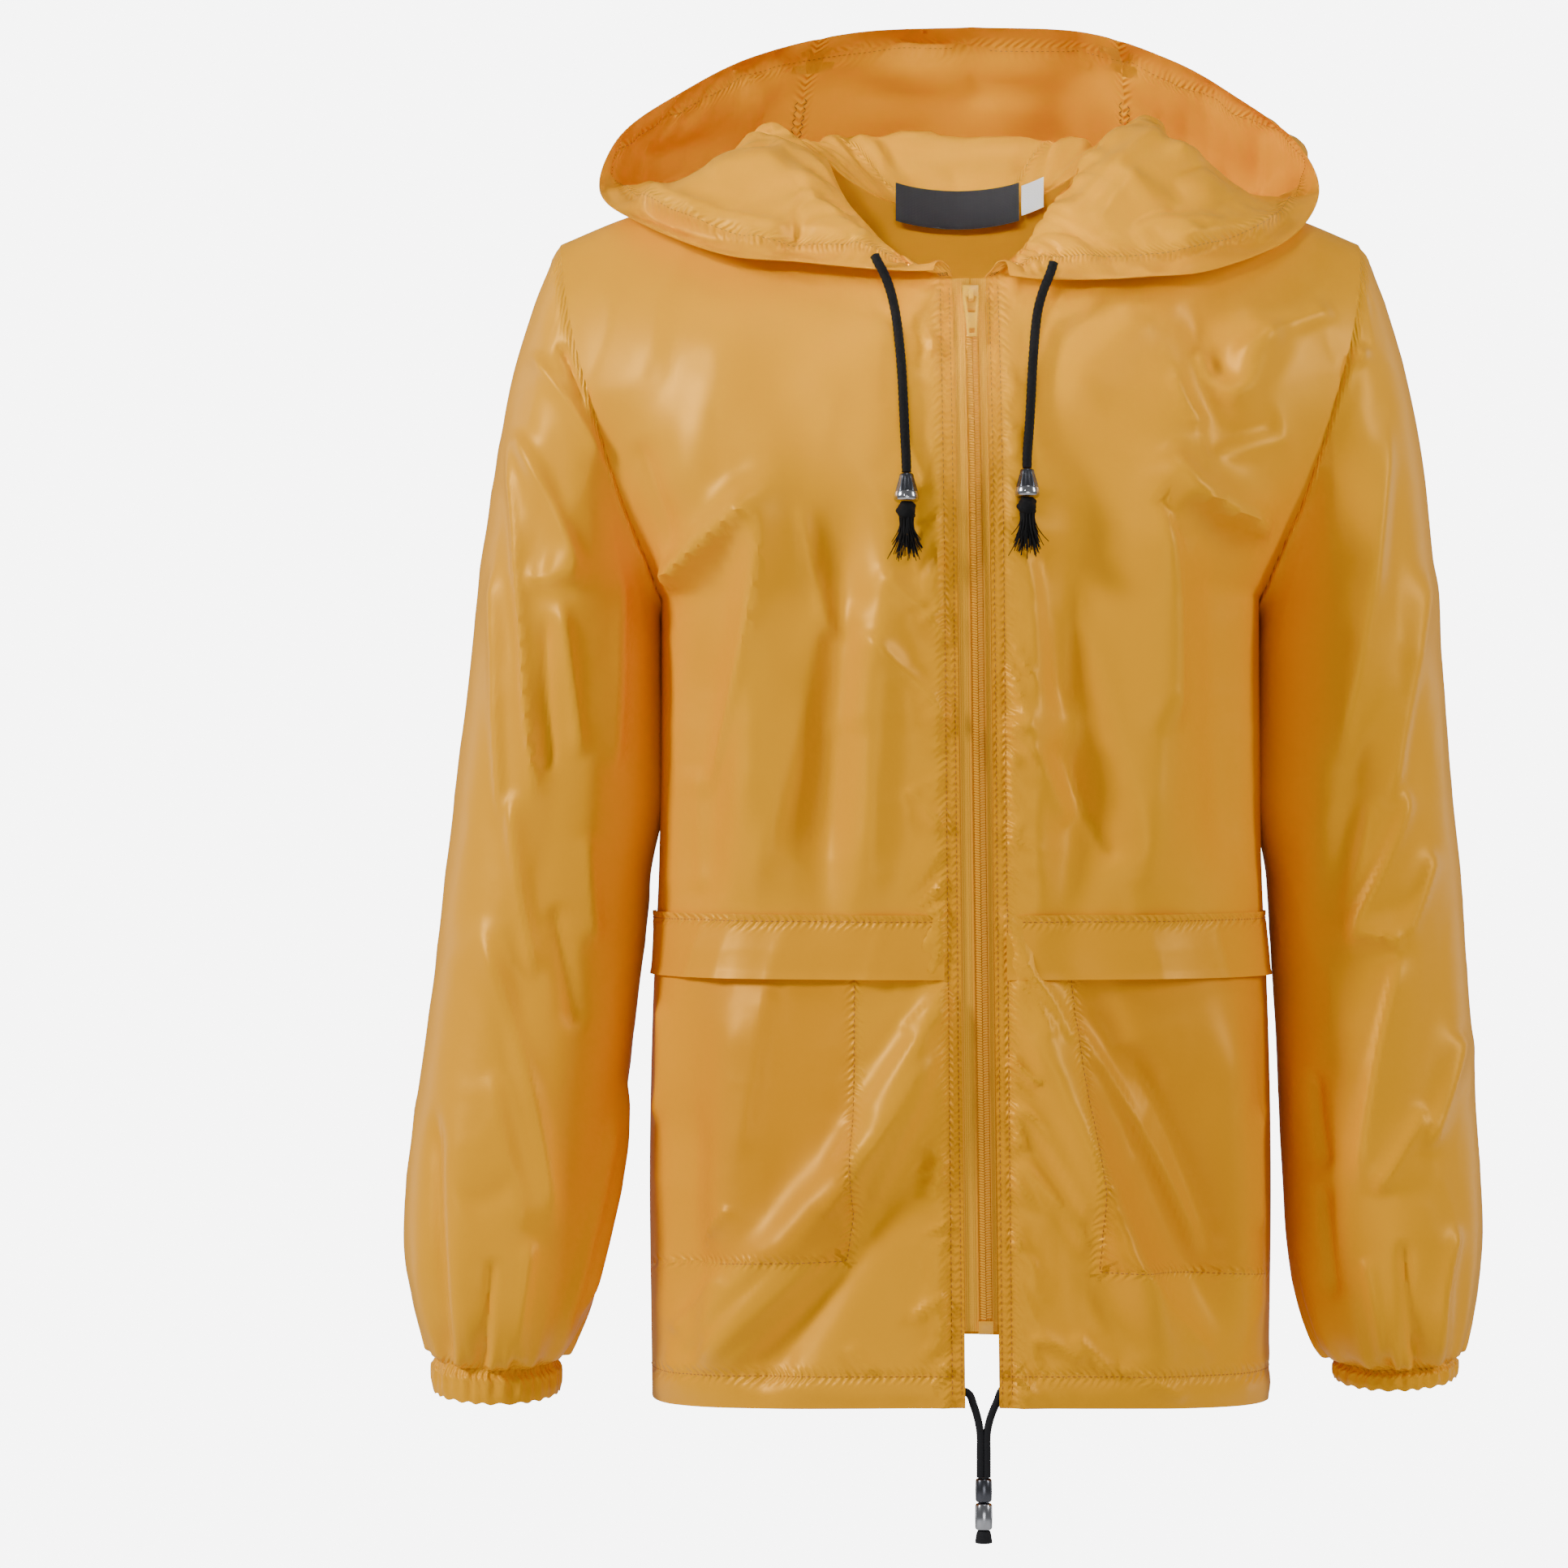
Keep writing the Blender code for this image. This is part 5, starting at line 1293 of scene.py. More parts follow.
# %% Creases of the sleeves: x0, z0, x1, z1, bow, left, right, height
SLEEVE_CREASES = {
    -1: (
        (-238, -112, -221, -150, -1, 3, 4, -2.0),
        (-231, -112, -216, -152, -1, 3, 3, -1.6),
        (-254, -116, -212, -184, -4, 7, 4, 2.4),
        (-264, -160, -224, -250, -3, 10, 4, 3.4),
        (-258, -252, -224, -247, 2, 4, 8, 2.2),
        (-265, -160, -250, -390, 2, 4, 5, 3.0),
        (-275, -235, -272, -400, 1, 4, 5, 2.4),
        (-236, -262, -225, -360, -1, 7, 5, 2.6),
        (-201, -240, -207, -370, 0, 6, 6, 2.4),
        (-246, -270, -243, -370, 0, 6, 6, -2.4),
        (-266, -375, -250, -490, 2, 6, 7, 3.0),
        (-285, -450, -240, -640, -6, 10, 8, 3.6),
        (-276, -540, -256, -640, 2, 8, 9, 1.8),
        (-310, -560, -300, -726, 3, 6, 5, -3.0),
        (-296, -620, -262, -602, 6, 14, 10, -1.4),
        (-240, -440, -226, -520, 0, 8, 8, -2.4),
        (-197, -540, -226, -690, -3, 4, 5, 3.2),
        (-204, -560, -240, -714, -2, 4, 5, 2.0),
        (-222, -400, -216, -470, 1, 6, 6, 2.0),
        (-254, -640, -262, -722, 1, 5, 6, 2.4),
        (-276, -650, -282, -722, 0, 5, 4, -2.2),
    ),
    1: (
        (242, -114, 212, -160, 2, 8, 4, 3.0),
        (236, -120, 216, -148, 1, 3, 4, -2.2),
        (232, -108, 222, -136, 1, 3, 3, 1.8),
        (254, -150, 224, -366, -4, 12, 8, 3.6),
        (276, -238, 252, -392, -2, 9, 7, 3.0),
        (266, -372, 229, -462, -4, 5, 8, 3.4),
        (228, -463, 262, -469, -4, 4, 8, 2.6),
        (280, -410, 260, -466, -2, 5, 6, 2.4),
        (261, -468, 236, -614, 3, 5, 12, 3.2),
        (296, -515, 274, -592, -3, 7, 6, 3.2),
        (276, -562, 244, -616, -2, 5, 7, 2.8),
        (210, -540, 218, -602, 2, 6, 5, -3.0),
        (214, -606, 222, -680, 1, 5, 7, -2.6),
        (296, -630, 280, -716, 2, 6, 5, 2.6),
        (262, -640, 268, -716, 0, 5, 5, -2.4),
        (240, -650, 252, -716, 0, 5, 6, 2.2),
        (244, -380, 226, -450, -2, 8, 6, 1.8),
    ),
}
SLEEVE_BACK_CREASES = (
    (232, -130, 262, -300, 4, 6, 10, 3.0), (270, -250, 226, -330, 3, 9, 5, 3.0),
    (240, -330, 262, -480, 2, 7, 9, 3.0), (222, -420, 270, -440, 5, 5, 9, 3.2),
    (286, -440, 262, -560, 3, 8, 6, 3.0), (232, -500, 250, -640, 2, 6, 8, 3.0),
    (276, -580, 290, -690, 2, 6, 6, -2.6), (206, -280, 214, -400, 0, 6, 6, -2.4),
)


# %% Sleeves
def ring_turn(turn):
    """The armhole's point at a turn: 0 under the arm, half a turn at the shoulder."""
    t = turn / math.pi
    return armhole(-1, t) if t <= 1 else armhole(1, 2 - t)


def sleeve_ring(side, k, start, turn):
    """One ring of a sleeve at row k of the table; a quarter turn is in front."""
    table = (SLEEVE_LEFT if side > 0 else SLEEVE_RIGHT) | SLEEVE_RING
    keys = np.arange(LAST_RING + 1)
    read = {name: through(keys, row, k) for name, row in table.items()}
    first = {name: row[0] for name, row in table.items()}
    rings = []
    for r in (read, first):
        across = (1 - np.cos(turn)) / 2
        x = r["inner_x"] + (r["outer_x"] - r["inner_x"]) * across
        z = r["inner_z"] + (r["outer_z"] - r["inner_z"]) * across - r["tilt"] * np.sin(turn)
        y = r["middle_y"] - np.where(np.sin(turn) > 0, r["front"], r["back"]) * np.sin(turn)
        rings.append(np.stack([x, y, z], axis=1))
    return rings[0] + (start - rings[1]) * (1 - ease(k / 3.5))


def gather_lift(k, turn, side):
    """Pleats that run up from the cuff and die out, uneven in width and height."""
    share = np.clip((k - 10.2) / 3.8, 0, 1)
    uneven = 0.75 + 0.25 * np.cos(3 * turn + 1.0)
    wander = 0.5 * np.sin(2 * turn + side) + 0.35 * np.sin(5 * turn - side)
    broad = 3.4 * share**1.5 * uneven * np.cos(GATHERS * turn + wander)
    narrow = 2.4 * share**3 * np.cos(2.5 * GATHERS * turn + 3 * wander) * (0.5 + 0.5 * np.cos(4 * turn))
    return broad + np.where(k > 11.5, narrow, 0)


turns = np.arange(SLEEVE_COLUMNS) * 2 * math.pi / SLEEVE_COLUMNS
armhole_ring = np.array([ring_turn(turn) for turn in turns])


def sleeve_panel(side):
    """Outer face of a sleeve, the ways in from it, its smooth form, and its marks."""
    base = np.array([sleeve_ring(side, k, armhole_ring, turns) for k in SLEEVE_ROWS]) * np.array([side, 1, 1])
    outward = -grid_normals(base, around=True) * side
    x, z = base[..., 0], base[..., 2]
    sx, sz = seen(base)
    k = SLEEVE_ROWS[:, None]
    facing = np.sin(turns)
    in_front = ease(facing / 0.25)
    behind = ease(-facing / 0.25)
    front_folds = fold_lift(SLEEVE_FOLDS[side], x, z)
    broad = np.where(facing > 0, front_folds, fold_lift(SLEEVE_BACK_FOLDS, np.abs(x), z))
    broad = broad * ease(k / 1.2) * (1 - ease((k - 12.2) / 1.8)) * np.abs(facing) ** 0.7
    crisp = crease_lift(SLEEVE_CREASES[side], sx, sz) * in_front
    crisp = crisp + crease_lift(SLEEVE_BACK_CREASES, np.abs(x), z) * behind
    crisp = crisp + (crumple(turns * CAP_RADIUS, z, 80 + side) - 0.7) * 0.5
    # the solid's broad folds dip where its wall has them; the crisp ones stand out of the cloth
    lift = (0.7 - 0.4 * broad) * ease(k / 0.3) + crisp * ease(k / 0.5) * (1 - 0.6 * ease((k - 13) / 1))
    gathers = gather_lift(k, turns[None, :], side) * (1 - 0.75 * ease((k - 13.5) / 0.5))
    lift = lift + gathers - 1.6 * ease((k - 13.6) / 0.4)
    # the cap is eased into the armhole with small puckers, and the seam itself sinks in
    cap = ridges(turns[None, :] * 9, k * 1.5, 90 + side) ** 2 * np.exp(-((k / 0.55) ** 2)) * 1.3
    lift = lift + (cap - 0.8 * np.exp(-((k / 0.12) ** 2))) * ease(k / 0.1)
    # below the armpit the sleeve lies against the coat's side, and its inner side reaches towards it
    round_inside = np.exp(-((np.minimum(turns, 2 * math.pi - turns) / 0.75) ** 2))
    touch = ease((-252 - z) / 40) * (1 - ease((-372 - z) / 60)) * (4.5 + 3.5 * ease((-270 - z) / 100))
    lift = lift + touch * round_inside
    grid = base + outward * lift[..., None]
    inward = grid_normals(grid, around=True) * side
    inward[0] = to_ring_middle(grid[0])
    cap_seam = (k * CAP_ROW, turns * CAP_RADIUS, 5.0)
    wrist_seam = ((LAST_RING - k) * WRIST_ROW, turns * WRIST_RADIUS, 4.0)
    marks = seam_marks([cap_seam, wrist_seam])
    return {"grid": grid, "inward": inward, "base": base, "marks": marks}


CUFF_STITCH = 0.12  # of the cuff's height, from its top


def cuff_panel(side):
    """The ruffled band: it starts on the sleeve's last ring."""
    ring = sleeve_ring(side, LAST_RING, armhole_ring, turns) * np.array([side, 1, 1])
    middle = ring.mean(axis=0)
    out = unit((ring - middle) * np.array([1, 1, 0]))
    wander = 0.6 * np.sin(3 * turns + side) + 0.5 * np.sin(7 * turns)
    rib = 0.7 * np.cos(2.6 * GATHERS * turns + 2 * wander) + 0.5 * np.cos(1.5 * GATHERS * turns - wander)
    rows, shares = [], np.linspace(-0.4, 1, 16)
    for share in shares:
        swell = np.interp(share, (-0.4, 0, 0.25, 0.75, 1), (-3.4, -1.4, 1.0, 1.2, 0.2))
        ruffle = rib * (0.35 + 0.65 * math.sin(math.pi * min(1, max(0, share) * 1.2)) ** 0.7)
        groove = -0.7 * math.exp(-(((share - CUFF_STITCH) / 0.08) ** 2))
        row = ring + out * (swell + ruffle + groove)[:, None]
        row[:, 2] -= 0.3 + CUFF_HEIGHT[side] * share + 0.7 * share * np.cos(2 * GATHERS * turns + wander)
        rows.append(row)
    grid = np.array(rows)
    marks = seam_marks([((shares[:, None] - CUFF_STITCH) * 14, turns * WRIST_RADIUS, 3.0)])
    return grid, -np.broadcast_to(out, grid.shape), marks


sleeves = {}
for side, name in ((1, "sleeve_left"), (-1, "sleeve_right")):
    panel = sleeves[side] = sleeve_panel(side)
    made = shell(name + "_cloth", panel["grid"], panel["inward"], COAT, around=True, marks=panel["marks"])
    stand_in(made, name)
    declare_sheet(made, panel["base"], [FRONT_OF[side], "back"], around=True)
    print(name, len(made.data.polygons), "faces")
for side, name in ((1, "cuff_left"), (-1, "cuff_right")):
    grid, inward, marks = cuff_panel(side)
    made = shell(name + "_cloth", grid, inward, COAT, around=True, marks=marks)
    stand_in(made, name)
    declare_sheet(made, grid, ["sleeve_left" if side > 0 else "sleeve_right"], around=True)

# %% [markdown]
# ## The hood
# The hood lies back off the head. From the neck seam its cloth rises to a crest, falls into the sack
# behind, and comes up again to the rim, which makes a wide open mouth. In front the same rows are the
# lapels that roll out over the chest. Two side panels and a centre panel are sewn together, and the rim
# is turned over a casing for the cord.

# %% Rows of the hood, in mm
HOOD = {
    "along": (0.0, 0.12, 0.24, 0.34, 0.42, 0.50, 0.58, 0.70, 0.80, 0.90, 1.0),
    "inner": ((15, -82, -73), (44, -78, -62), (70, -70, -45), (98, -52, -16), (128, -21, 3), (140, 14, -2),
              (136, 56, -14), (112, 80, -36), (86, 92, -48), (55, 96, -54), (0, 98, -55)),
    "bottom": ((18, -85, -72), (48, -84, -66), (82, -77, -55), (117, -64, -37), (152, -33, -15),
               (166, 16, -16), (160, 84, -44), (130, 118, -94), (98, 136, -122), (60, 146, -134),
               (0, 148, -138)),
    "belly": ((20.5, -88, -74), (50, -88, -72), (90, -82, -65), (132, -72, -55), (172, -40, -35),
              (192, 14, -18), (197, 72, -12), (176, 124, -14), (140, 162, -16), (84, 182, -18),
              (0, 188, -20)),
}
HOOD_RIGHT = HOOD | {
    "crest": ((12, -79, -76), (39, -74, -63), (62, -61, -48), (80, -38, -22), (98, -11, 4), (113, 12, 17),
              (112, 40, 22), (98, 62, 20), (82, 76, 20), (52, 85, 23), (0, 88, 25)),
    "rim": ((22, -90, -78), (51, -90, -77), (97, -85, -72), (143, -75, -66), (188, -40, -45), (213, 6, -22),
            (206, 44, 12), (168, 84, 49), (128, 104, 73), (70, 117, 89), (0, 122, 93)),
}
HOOD_LEFT = HOOD | {
    "crest": ((12, -79, -77), (34, -73, -58), (50, -57, -34), (70, -37, -5), (90, -12, 15), (106, 13, 26),
              (110, 40, 24), (98, 62, 20), (82, 76, 20), (52, 85, 23), (0, 88, 25)),
    "rim": ((22, -90, -81), (54, -90, -83), (100, -86, -81), (146, -76, -75), (191, -42, -54), (213, 6, -22),
            (205, 44, 9), (163, 84, 47), (125, 104, 70), (70, 117, 89), (0, 122, 93)),
}
HOOD_ROWS = ("crest", "inner", "bottom", "belly", "rim")
HOOD_ROW_AT = (0.0, 0.15, 0.33, 0.52, 0.78, 1.0)
CENTRE_PANEL_FROM = 0.865
HOOD_ALONG = {-1: (0, 0.07, 0.15, 0.235, 0.32, 0.41, 0.5), 1: (0.5, 0.58, 0.66, 0.735, 0.80, 0.865, 1.0)}
HOOD_SHIFT = {"crest": -9, "inner": -6, "bottom": 0, "belly": 4, "rim": 12}
HOOD_SPREAD = np.linspace(0, 1, 84)
HOOD_LENGTH = 620  # mm of cloth from the zip round to the middle of the back
CASING = 17.0  # mm from the rim to the casing's stitching


# %% Creases of the hood's lapels, as the camera sees them: x0, z0, x1, z1, bow, left, right, height
HOOD_CREASES = (
    (-192, -16, -96, -42, 4, 9, 5, 2.4),
    (-190, -24, -120, -42, 3, 5, 6, 1.8),
    (-176, -8, -112, 14, -3, 6, 8, 1.8),
    (-150, -14, -98, 6, -2, 6, 8, 1.6),
    (-118, 16, -44, -46, -4, 7, 12, 2.2),
    (-96, -38, -50, -52, 1, 4, 6, 1.4),
    (-160, -30, -150, -46, 0, 4, 5, 1.2),
    (-126, -44, -116, -52, 0, 3, 4, 1.0),
    (206, -26, 120, -50, -4, 8, 5, 2.2),
    (196, -12, 120, 4, 3, 8, 6, 2.0),
    (176, -34, 100, -40, -2, 6, 6, 1.6),
    (128, 22, 62, -40, 4, 10, 7, 2.4),
    (108, -6, 80, -44, 2, 6, 8, 1.6),
    (186, -40, 172, -54, 0, 4, 4, 1.2),
    (140, -42, 132, -54, 0, 4, 4, 1.0),
)


# %% Half the hood
def halved(line):
    """The line with a point added in the middle of each gap."""
    line = np.asarray(line, float)
    made = np.empty((2 * len(line) - 1, *line.shape[1:]))
    made[0::2], made[1::2] = line, (line[1:] + line[:-1]) / 2
    return made


def hood_half(side):
    """Points of half the hood: columns from the zip round to the middle of the back, rows up to the rim."""
    front = neckline(-1, finer(NECK_SHARES[-1], FINER))
    front[:, 0] = lean(side, front[:, 0], front[:, 2])
    behind = neckline(1, finer(NECK_SHARES[1], FINER))[::-1] * np.array([side, 1, 1])
    seam = np.concatenate([front, behind[1:]])
    along = np.concatenate([finer(HOOD_ALONG[-1], FINER), finer(HOOD_ALONG[1], FINER)[1:]])
    neck, at = halved(seam), halved(along)
    neck[:, 2] += 0.1
    lines = [neck]
    table = HOOD_LEFT if side > 0 else HOOD_RIGHT
    for name in HOOD_ROWS:
        line = through(table["along"], table[name], at)
        x = side * line[:, 0] + zip_x(ZIP_TOP_Z) * (1 - at) ** 4 + HOOD_SHIFT[name] * ease((at - 0.5) / 0.5)
        lines.append(np.stack([x, line[:, 1], line[:, 2]], axis=1))
    return np.array([through(HOOD_ROW_AT, np.array(lines), r) for r in HOOD_SPREAD]), at


def hood_lift(base, at, side):
    """Creases of the hood: puckers beside the casing, soft dents behind, all uneven."""
    down = np.cumsum(np.linalg.norm(np.diff(base[::-1], axis=0), axis=2), axis=0)
    from_rim = np.pad(down, ((1, 0), (0, 0)))[::-1]
    reach = at[None, :] * HOOD_LENGTH
    body = ease(from_rim / 12) * ease(HOOD_SPREAD[:, None] / 0.12)
    soft = 7.0 * (noise(reach / 62, from_rim / 48, 101 + side) - 0.5)
    soft = soft + 5.0 * ridges(reach / 50, from_rim / 30, 103 + side) ** 2
    tufts = ridges(reach / 17 + from_rim / 40, from_rim / 40, 105 + side) ** 2
    tufts = tufts * np.exp(-(((from_rim - CASING) / 20) ** 2))
    weak = 0.7 + 0.3 * ease((at[None, :] - 0.3) / 0.2)
    casing = 0.9 * ease((CASING + 2 - from_rim) / 3) - 0.9 * np.exp(-(((from_rim - CASING) / 1.7) ** 2))
    lift = soft * body * weak + 3.8 * tufts * weak * ease(from_rim / 5) + casing
    lift = lift + 2.4 * (crumple(reach, from_rim, 111 + side) - 0.7) * body
    sx, sz = seen(base)
    in_front = ease((0.6 - at[None, :]) / 0.08)
    lift = lift - crease_lift(HOOD_CREASES, sx, sz) * in_front * body  # the camera sees the inner face
    seam = (at[None, :] - CENTRE_PANEL_FROM) * HOOD_LENGTH
    seam_tufts = ridges(from_rim / 9, seam / 30, 107) ** 2 * np.exp(-((seam / 14) ** 2))
    lift = lift - 0.8 * np.exp(-((seam / 3.0) ** 2)) + seam_tufts * body
    return lift, from_rim, seam


hoods = {}
for side in (1, -1):
    base, at = hood_half(side)
    outward = grid_normals(base) * side
    outward[:, -1, 0] = 0
    outward = unit(outward)
    lift, from_rim, seam = hood_lift(base, at, side)
    calm_front = ease(at / 0.03)[None, :]
    grid = base + outward * (lift * calm_front)[..., None]
    marks = seam_marks([(from_rim - CASING, at[None, :] * HOOD_LENGTH, 3.6), (seam, from_rim, 3.4)])
    # painted shade: darker along the casing, where the rim is turned over
    marks["layer"] = 0.5 * ease((CASING - from_rim) / 1.5)
    hoods[side] = {"grid": grid, "outward": outward, "base": base, "from_rim": from_rim, **marks}

# %% Hood panels
HOOD_MARKS = ("pucker", "pace", "layer")
cut = int(np.argmin(np.abs(at - CENTRE_PANEL_FROM)))  # the column of the seam beside the centre panel
for side, name in ((1, "hood_left"), (-1, "hood_right")):
    own = {key: values[:, : cut + 1] for key, values in hoods[side].items()}
    marks = {key: own[key] for key in HOOD_MARKS}
    made = shell(name + "_cloth", own["grid"], -own["outward"], COAT, marks=marks)
    stand_in(made, name)
    declare_sheet(made, own["base"], [FRONT_OF[side], "back"])


def whole_centre(key):
    """The centre panel's values, from the left seam across the middle to the right one."""
    left, right = hoods[1][key][:, cut:], hoods[-1][key][:, cut:]
    return np.concatenate([left, right[:, ::-1][:, 1:]], axis=1)


marks = {key: whole_centre(key) for key in HOOD_MARKS}
hood_centre = shell("hood_centre_cloth", whole_centre("grid"), -whole_centre("outward"), COAT, marks=marks)
stand_in(hood_centre, "hood_centre")
declare_sheet(hood_centre, whole_centre("base"), ["back"])

# %% [markdown]
# ## The zip
# Two woven tapes lie behind the fronts' edges and carry a nylon coil. A coil is a spring whose turns
# stand side by side, so from in front it looks like two strips of fine ribs. The slider, its pull and
# the box at the bottom start from copies of their solids, which get rounded edges.


# %% Tapes
def zip_line():
    """The face of the tapes along the zip's middle: heights, y, and the ways in."""
    panel = fronts[1]
    line = panel["base"][:, 0] + panel["inward"][:, 0] * (CLOTH + LAY_GAP)
    return line[:, 2], line[:, 1], panel["inward"][:, 0]


zip_heights, zip_y, zip_inward = zip_line()


def on_zip(z, x=0.0, out=0.0):
    """A point of the zip at height z: x from its middle, out from the face of the tapes."""
    way = read_line(zip_heights, zip_inward, z)
    return np.array([zip_x(z) + x, np.interp(z, zip_heights, zip_y), z]) - way * out


TAPE_COLUMNS = 7  # across the part of a tape that shows beside the coil
for side, name in ((1, "zip_tape_left"), (-1, "zip_tape_right")):
    panel = fronts[side]
    rows = np.searchsorted(LOW_HEIGHTS, ZIP_BOTTOM_Z)
    columns = [0, 2, 4, FINER]
    ways = panel["inward"][rows:, columns]
    face = panel["base"][rows:, columns] + ways * (CLOTH + LAY_GAP)
    middle = np.repeat(face[:, :1], TAPE_COLUMNS, axis=1)
    inset = side * np.linspace(0.4, ZIP_HALF_GAP - 0.8, TAPE_COLUMNS)
    middle[..., 0] = zip_x(middle[..., 2]) + inset
    inward = np.concatenate([np.repeat(ways[:, :1], TAPE_COLUMNS, axis=1), ways], axis=1)
    grid = np.concatenate([middle, face], axis=1)
    made = shell(name + "_weave", grid, inward, TAPE, thickness=0.7)
    stand_in(made, name)
    declare_sheet(made, grid, [FRONT_OF[side]])

# %% Coil
SLIDER_Z, SLIDER_HALF = -94.0, 8.2
COIL_PITCH = 1.5
COIL_STITCH_X = 3.9  # mm from the zip's middle to the thread that holds the coil
coil_top = SLIDER_Z - SLIDER_HALF * 0.93 - 0.4
coil_low = ZIP_BOTTOM_Z + 7.4


def coil_turn(z, side):
    """One turn of the coil: a short bead across the tape, thicker where the two sides meet."""
    ends = [on_zip(z + 0.25 * i, side * x, LAY_GAP + 0.75) for i, x in enumerate((0.15, 1.2, 2.3, 3.1))]
    radii = np.array([0.62, 0.72, 0.7, 0.5])[:, None] * np.array([1.0, 1.15, 1.0, 1.15, 1.0, 1.15])[None, :]
    return tube_parts(np.array(ends), radii, 6)


coil_heights = np.arange(coil_low + 0.8, coil_top - 0.8, COIL_PITCH)
coil_parts = [coil_turn(z + 0.5 * COIL_PITCH, 1) for z in coil_heights]
coil_parts += [coil_turn(z, -1) for z in coil_heights]
for x in (-COIL_STITCH_X, COIL_STITCH_X):
    heights = np.arange(coil_low, coil_top, COIL_PITCH)
    path = np.array([on_zip(z, x, 0.25 + 0.18 * math.sin(z * 2.1)) for z in heights])
    coil_parts.append(tube_parts(path, np.full((len(path), 1), 0.3), 5))
coil = new_object("zip_coil", *joined_parts(coil_parts), COIL)
stand_in(coil, "zip_teeth")
print("coil", 2 * len(coil_heights), "turns,", len(coil.data.polygons), "faces")


# %% Slider, pull and box from copies of their solids
def rounded_copy(node, name, body, finish, width):
    """The solid's own shape with its edges rounded."""
    nothing_selected()
    made = bpy.data.objects.new(name, frame["nodes"][node].data.copy())
    bpy.context.scene.collection.objects.link(made)
    made.select_set(True)
    bpy.context.view_layer.objects.active = made
    bpy.ops.object.mode_set(mode="EDIT")
    bpy.ops.mesh.select_all(action="SELECT")
    bpy.ops.mesh.remove_doubles(threshold=0.00001)
    bpy.ops.mesh.tris_convert_to_quads(face_threshold=0.02, shape_threshold=0.5)
    bpy.ops.mesh.dissolve_limited(angle_limit=math.radians(2))
    bpy.ops.object.mode_set(mode="OBJECT")
    bevel = made.modifiers.new("round", "BEVEL")
    bevel.width, bevel.segments, bevel.limit_method = width * MM, 3, "ANGLE"
    bevel.angle_limit = math.radians(35)
    bpy.ops.object.modifier_apply(modifier=bevel.name)
    bpy.ops.object.shade_smooth_by_angle(angle=math.radians(45))
    made.data.materials.clear()
    made.data.materials.append(finish)
    stand_in(made, node, body)
    print(name, len(made.data.polygons), "faces")
    return made


rounded_copy("zip_slider", "slider", "garment", ZIP_PAINT, 0.55)
pull = rounded_copy("zip_pull", "pull_tab", "pull_tab", ZIP_PAINT, 0.35)
rounded_copy("zip_box", "zip_end_box", "garment", COIL, 0.5)

# %% [markdown]
# ### The pull's tab
# The real tab has a longer window than its solid and grows narrower towards its end. The copy's points
# are moved along and across it, so its pin and its length stay as they are.

# %% The tab's taper and its window
TAB_SOLID = (-0.65, 0.65, 4.8, 18.5, 23.5, 27.0)  # mm from the hinge: pin, window, plate, small hole, end
TAB_REAL = (-0.65, 0.65, 11.2, 21.6, 25.0, 27.0)
TAB_WINDOW, TAB_EDGE = 2.0, 4.15  # half widths in the solid
TAB_WIDTHS = {  # half widths here
    "along": (0, 6, 11.2, 20, 27),
    "window": (2.9, 2.8, 2.0, 1.7, 1.4),
    "edge": (4.7, 4.6, 4.3, 3.4, 2.7),
}

hinge = np.array(frame["record"]["behaviour"]["joints"][0]["pos_m"]) / MM
points = np.array([vertex.co for vertex in pull.data.vertices]) / MM - hinge
reach = np.linalg.norm(points, axis=1)
way = unit(points[reach > reach.max() - 3].mean(axis=0))
across = unit(np.cross(way, (0.0, -1.0, 0.0)))
along, aside = points @ way, points @ across
left_over = points - along[:, None] * way - aside[:, None] * across
along = np.interp(along, TAB_SOLID, TAB_REAL)
window, edge = (column(TAB_WIDTHS, "along", name, along) for name in ("window", "edge"))
beyond = (np.abs(aside) - TAB_WINDOW) / (TAB_EDGE - TAB_WINDOW)
width = np.where(beyond < 0, np.abs(aside) * window / TAB_WINDOW, window + beyond * (edge - window))
points = hinge + left_over + along[:, None] * way + (np.sign(aside) * width)[:, None] * across
for vertex, place in zip(pull.data.vertices, points * MM):
    vertex.co = place
pull.data.update()
print(f"pull tab {reach.max():.1f} mm long, half width at its end {width[along > 25].max():.2f}")

# %% [markdown]
# ## Labels
# A dark woven label is sewn inside the back of the neck, with a small white one beside it. Both are
# bare. They are thin ribbons that follow the neck's curve, a little wavy.

# %% Labels
for name, middle, (width, height), finish, slot in (
    ("neck_label", 0.0, (74.0, 23.0), LABEL, "label_cloth"),
    ("care_label", 45.0, (13.0, 18.0), CARE_LABEL, "care_cloth"),
):
    x = np.linspace(middle - width / 2, middle + width / 2, 40 if width > 20 else 14)
    seam_z = column(NECKLINE, "x", "back", np.abs(x))
    seam_y = figure_y(x, seam_z, 1)
    rows = []
    for share in np.linspace(-0.5, 0.5, 14):
        wave = 0.6 * np.sin(x / 9.0 + share * 3) + 0.4 * np.cos(share * 7 + x / 15)
        rows.append(np.stack([x, seam_y - 2.1 - wave * (0.5 - share), seam_z + 1 + height * share], axis=1))
    grid = np.array(rows)
    made = shell(name + "_weave", grid, grid_normals(grid), finish, thickness=0.45)
    stand_in(made, name)
    declare_sheet(made, grid, ["back"])

# %% [markdown]
# ## Stitching
# Sewing thread shows as a row of short raised dashes with a gap between them. One dash is modelled and
# copied along each seam, a copy for each stitch, laid on the cloth and turned to its face.

# %% One stitch
STITCH_LENGTH, STITCH_GAP, THREAD_WIDTH = 2.1, 1.1, 0.52


